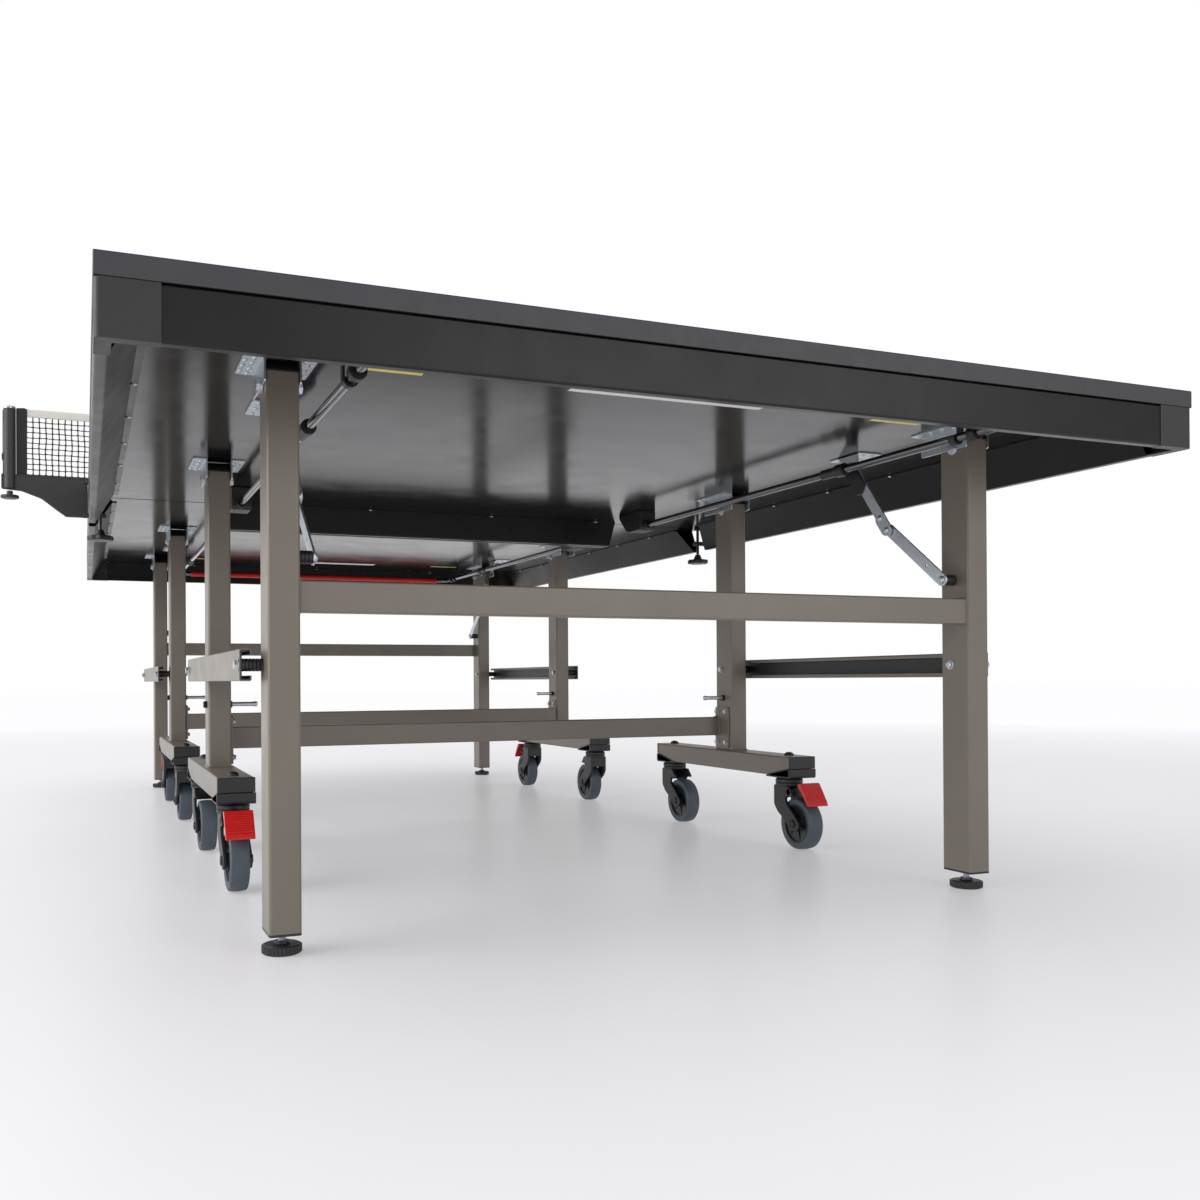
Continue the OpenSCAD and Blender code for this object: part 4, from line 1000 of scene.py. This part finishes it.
def net_pieces():
    x_in = POST_X - 32
    z_low, z_mid, z_top = TABLE_H + 13.5, TABLE_H + 2.5, NET_TOP - 17
    columns, rows = 140, 11
    mesh = Solid()

    def knot(i, j):
        x = -x_in + 2 * x_in * i / columns
        base = z_low if abs(x) > HALF_W - 38 else z_mid
        z = base + (z_top - base) * j / rows
        z += 0.5 * math.sin(1.7 * i + 2.3 * j) * (0 < j < rows)
        x += 0.9 * math.sin(0.9 * j + 0.35 * i) * math.sin(math.pi * j / rows)
        return Vector((x, NET_Y + 0.25 * math.sin(1.3 * i + j), z))

    def cord(knots, thick, thin, slack):
        """Cord through the knots, thinner between them, where it is a little out of line."""
        line, radii = [knots[0]], [thick]
        for k, (a, b) in enumerate(zip(knots, knots[1:])):
            line += [(a + b) / 2 + Vector(slack(k)), b]
            radii += [thin, thick]
        mesh.sweep(line, radii, 5)

    for i in range(columns + 1):
        upright = [knot(i, j) for j in range(rows + 1)]
        cord(upright, 1.55, 1.2, lambda k, i=i: (0.45 * math.sin(2.1 * i + 1.3 * k), 0, 0))
    for j in range(rows + 1):
        cord([knot(i, j) for i in range(columns + 1)], 1.25, 0.9, lambda k: (0, 0, -0.5))
    net = show("net_cords", mesh, "near_top", "net_cord", replaces=["net_mesh"], crease=80)

    tape = Solid()
    fold = moved([(-1.6, -18.5), (-1.7, -4), (0, -1.4), (1.7, -4), (1.6, -18.5)], NET_Y, NET_TOP)
    tape.prism(sheet_outline(fold, 0.7, 1.2), "x", -x_in, x_in, 0.1)
    for y in (NET_Y - 2.1, NET_Y + 2.1):
        seam = [(x, y, NET_TOP - 15.5 + 0.1 * math.sin(x)) for x in range(-880, 881, 8)]
        tape.sweep(seam, 0.25, 5)
    tape_piece = show("net_tape", tape, "near_top", "net_tape")

    sleeves = Solid()
    side = rounded(
        [(x_in - 1, TABLE_H + 13), (POST_X - 12.6, TABLE_H + 13), (POST_X - 12.6, NET_TOP - 2),
         (x_in + 4, NET_TOP - 0.4), (x_in - 2, NET_TOP - 3)], [1, 1, 3, 4, 2], True)
    sleeves.prism(side, "y", NET_Y - 3.2, NET_Y + 3.2, 1.6, segments=3)
    for y in (NET_Y - 3.3, NET_Y + 3.3):
        sleeves.sweep([(x_in + 2, y, z) for z in range(776, 906, 5)], 0.4, 6)
    sleeve_piece = show("net_sleeves", sleeves.both(), "near_top", "net_sleeve")

    # thin tie that holds the tape to each post, with its bead
    ties = Solid()
    out = POST_X + 12.6
    ties.sweep([(POST_X + 6, NET_Y, NET_TOP - 4.6), (POST_X + 11, NET_Y, NET_TOP - 4.8),
                (out, NET_Y, NET_TOP - 8), (out + 0.3, NET_Y, 850), (out, NET_Y, ARM_TOP + 1),
                (out - 1, NET_Y, ARM_TOP - 1)], 0.7, 8)
    bead = [(0, 0), (1.6, 1), (2.2, 4), (2.2, 12), (1.6, 15), (0, 16)]
    ties.lathe((out + 0.4, NET_Y, 800), "z", bead, 16)
    show("net_ties", ties.both(), "near_top", "net_cord")


def clamp_pieces(name, s):
    """Clamp screw with its knob, and the adjuster under the post, turned from the board's underside."""
    screw_at, post_at = (SCREW_X, NET_Y, UNDER), (POST_X, NET_Y, UNDER)
    screw = Solid().lathe(screw_at, "z", thread(3.3, 3.95, -72, -7, -5, (0.4, 0.7, 1.1, 1.25)), 20)
    show(f"clamp_{name}_thread", screw, f"clamp_{name}", "rod_steel", sx=s, replaces=[f"clamp_screw_{name}"])
    knob = Solid()
    # eight lobes round the rim
    lobes = [polar(SCREW_X, NET_Y, 25.4 + 1.4 * math.cos(math.radians(8 * a)), a) for a in range(0, 360, 5)]
    knob.prism(lobes, "z", UNDER - 95, UNDER - 84.5, 2.6, segments=4)
    hub = [(0, -86), (12, -86), (11, -83), (7.5, -74), (6.5, -71.5), (0, -71.5)]
    knob.lathe(screw_at, "z", hub, 32)
    pad = [(0, -7), (8, -7), (9, -6), (9, -1.4), (8.4, -0.5), (0, -0.5)]
    knob.lathe(screw_at, "z", pad, 32)
    show(f"clamp_{name}_knob", knob, f"clamp_{name}", "black_plastic", sx=s)
    adjuster = Solid()
    adjuster.lathe(post_at, "z", [
        (0, -14), (15, -14), (17.6, -12.6), (18, -10), (17.2, -7.4), (13, -6.6), (7, -6), (6, -4),
        (6, 1.5), (5, 2), (0, 2)], 40)
    for x, y in ring(POST_X, NET_Y, 15.9, 8):
        adjuster.rod((x, y, UNDER - 13.2), (x, y, UNDER - 7.6), 2, sides=12)
    show(f"adjuster_{name}_knob", adjuster, f"adjuster_{name}", "black_plastic", sx=s,
         replaces=[f"height_screw_{name}"])


# ---- studio


def floor():
    """Pale floor that fades into the white backdrop."""
    slab = Solid().block((-30000, -30000, -20), (30000, 30000, 0), 0)
    mesh = bpy.data.meshes.new("floor")
    slab.bm.to_mesh(mesh)
    mesh.transform(Matrix.Scale(MM, 4))
    stage = bpy.data.objects.new("floor", mesh)
    bpy.context.scene.collection.objects.link(stage)
    n = Nodes("studio_floor")
    tone = n.ramp(n.noise(0.8, 2.0), (0.3, (0.80, 0.795, 0.83)), (0.7, (0.84, 0.835, 0.87)))
    n.surface(Base_Color=tone, Roughness=n.span(n.noise(3.0), 0.28, 0.36), Specular_IOR_Level=0.35)
    distance = add_node(n.tree, "VectorMath", {0: n.place}, "LENGTH")["Value"]
    fade = n.span(distance, 0.30, 1.0, 1.7, 6.5)
    glow = add_node(n.tree, "Emission", {"Color": COOL_WHITE, "Strength": 1.0})["Emission"]
    blend = add_node(n.tree, "MixShader", {0: fade, 1: n.shader.outputs["BSDF"], 2: glow})["Shader"]
    feed(n.tree, n.tree.nodes["Material Output"], {"Surface": blend})
    mesh.materials.append(n.material)


def world():
    """White to the camera. It lights the table most from the left and behind."""
    studio = bpy.data.worlds.new("studio")
    studio.use_nodes = True
    bpy.context.scene.world = studio
    tree = studio.node_tree
    backdrop = feed(tree, tree.nodes["Background"], {"Color": (1.0, 1.0, 1.0, 1.0)})["Background"]
    where = add_node(tree, "TexCoord")["Generated"]
    lean = add_node(tree, "VectorMath", {0: where, 1: (-0.40, 0.14, 0.0)}, "DOT_PRODUCT")["Value"]
    level = add_node(tree, "Math", {0: lean, 1: 0.72}, "ADD")["Value"]
    wash = add_node(tree, "Background", {"Color": COOL_WHITE, "Strength": level})["Background"]
    seen = add_node(tree, "LightPath")["Is Camera Ray"]
    choice = add_node(tree, "MixShader", {0: seen, 1: wash, 2: backdrop})["Shader"]
    feed(tree, tree.nodes["World Output"], {"Surface": choice})


def lamps():
    for name, at, aim, size, power, colour in (
        ("key_left", (-4.2, -1.0, 1.9), (0, 0, 0.4), (3.5, 2.6), 90, (1.0, 0.985, 0.96)),
        ("front", (1.9, -4.9, 1.5), (0.3, 0, 0.4), (3.0, 2.0), 38, (1.0, 0.99, 0.98)),
        ("overhead", (0, 0, 3.6), (0, 0, 0), (4.5, 4.5), 60, (1.0, 1.0, 1.0)),
    ):
        lamp = bpy.data.lights.new(name, "AREA")
        lamp.shape = "RECTANGLE"
        lamp.size, lamp.size_y = size
        lamp.energy = power
        lamp.color = colour
        holder = bpy.data.objects.new(name, lamp)
        holder.location = at
        holder.rotation_euler = (Vector(aim) - Vector(at)).to_track_quat("-Z", "Y").to_euler()
        bpy.context.scene.collection.objects.link(holder)


def camera():
    """Camera fitted to the table's known sizes."""
    lens = bpy.data.cameras.new("camera")
    lens.sensor_width = 36.0
    lens.lens = 32.6592
    lens.shift_x = 0.07454
    lens.shift_y = 0.06353
    lens.clip_end = 100.0
    holder = bpy.data.objects.new("camera", lens)
    place = Matrix.Translation((-0.77163, -2.50502, 0.33701))
    # yaw, pitch up from straight down, and roll
    for degrees, axis in ((-21.38, "Z"), (90.18, "X"), (-0.32, "Z")):
        place = place @ Matrix.Rotation(math.radians(degrees), 4, axis)
    holder.matrix_world = place
    scene = bpy.context.scene
    scene.collection.objects.link(holder)
    scene.camera = holder
    scene.view_settings.view_transform = "Standard"


make_materials()
floor()
world()
lamps()
camera()
for table_half in (Half("near", -1), Half("far", 1)):
    board_pieces(table_half)
    apron_pieces(table_half)
    hinge_pieces(table_half)
    guide_pieces(table_half)
    outer_leg_pieces(table_half)
    trolley_pieces(table_half)
    gear_pieces(table_half)
    for side_name, side_sign in SIDES.items():
        foot_pieces(table_half, side_name, side_sign)
        for end_name, axis_y in CASTERS.items():
            caster_pieces(table_half, side_name, side_sign, end_name, axis_y)
post_pieces()
net_pieces()
for side_name, side_sign in SIDES.items():
    clamp_pieces(side_name, side_sign)
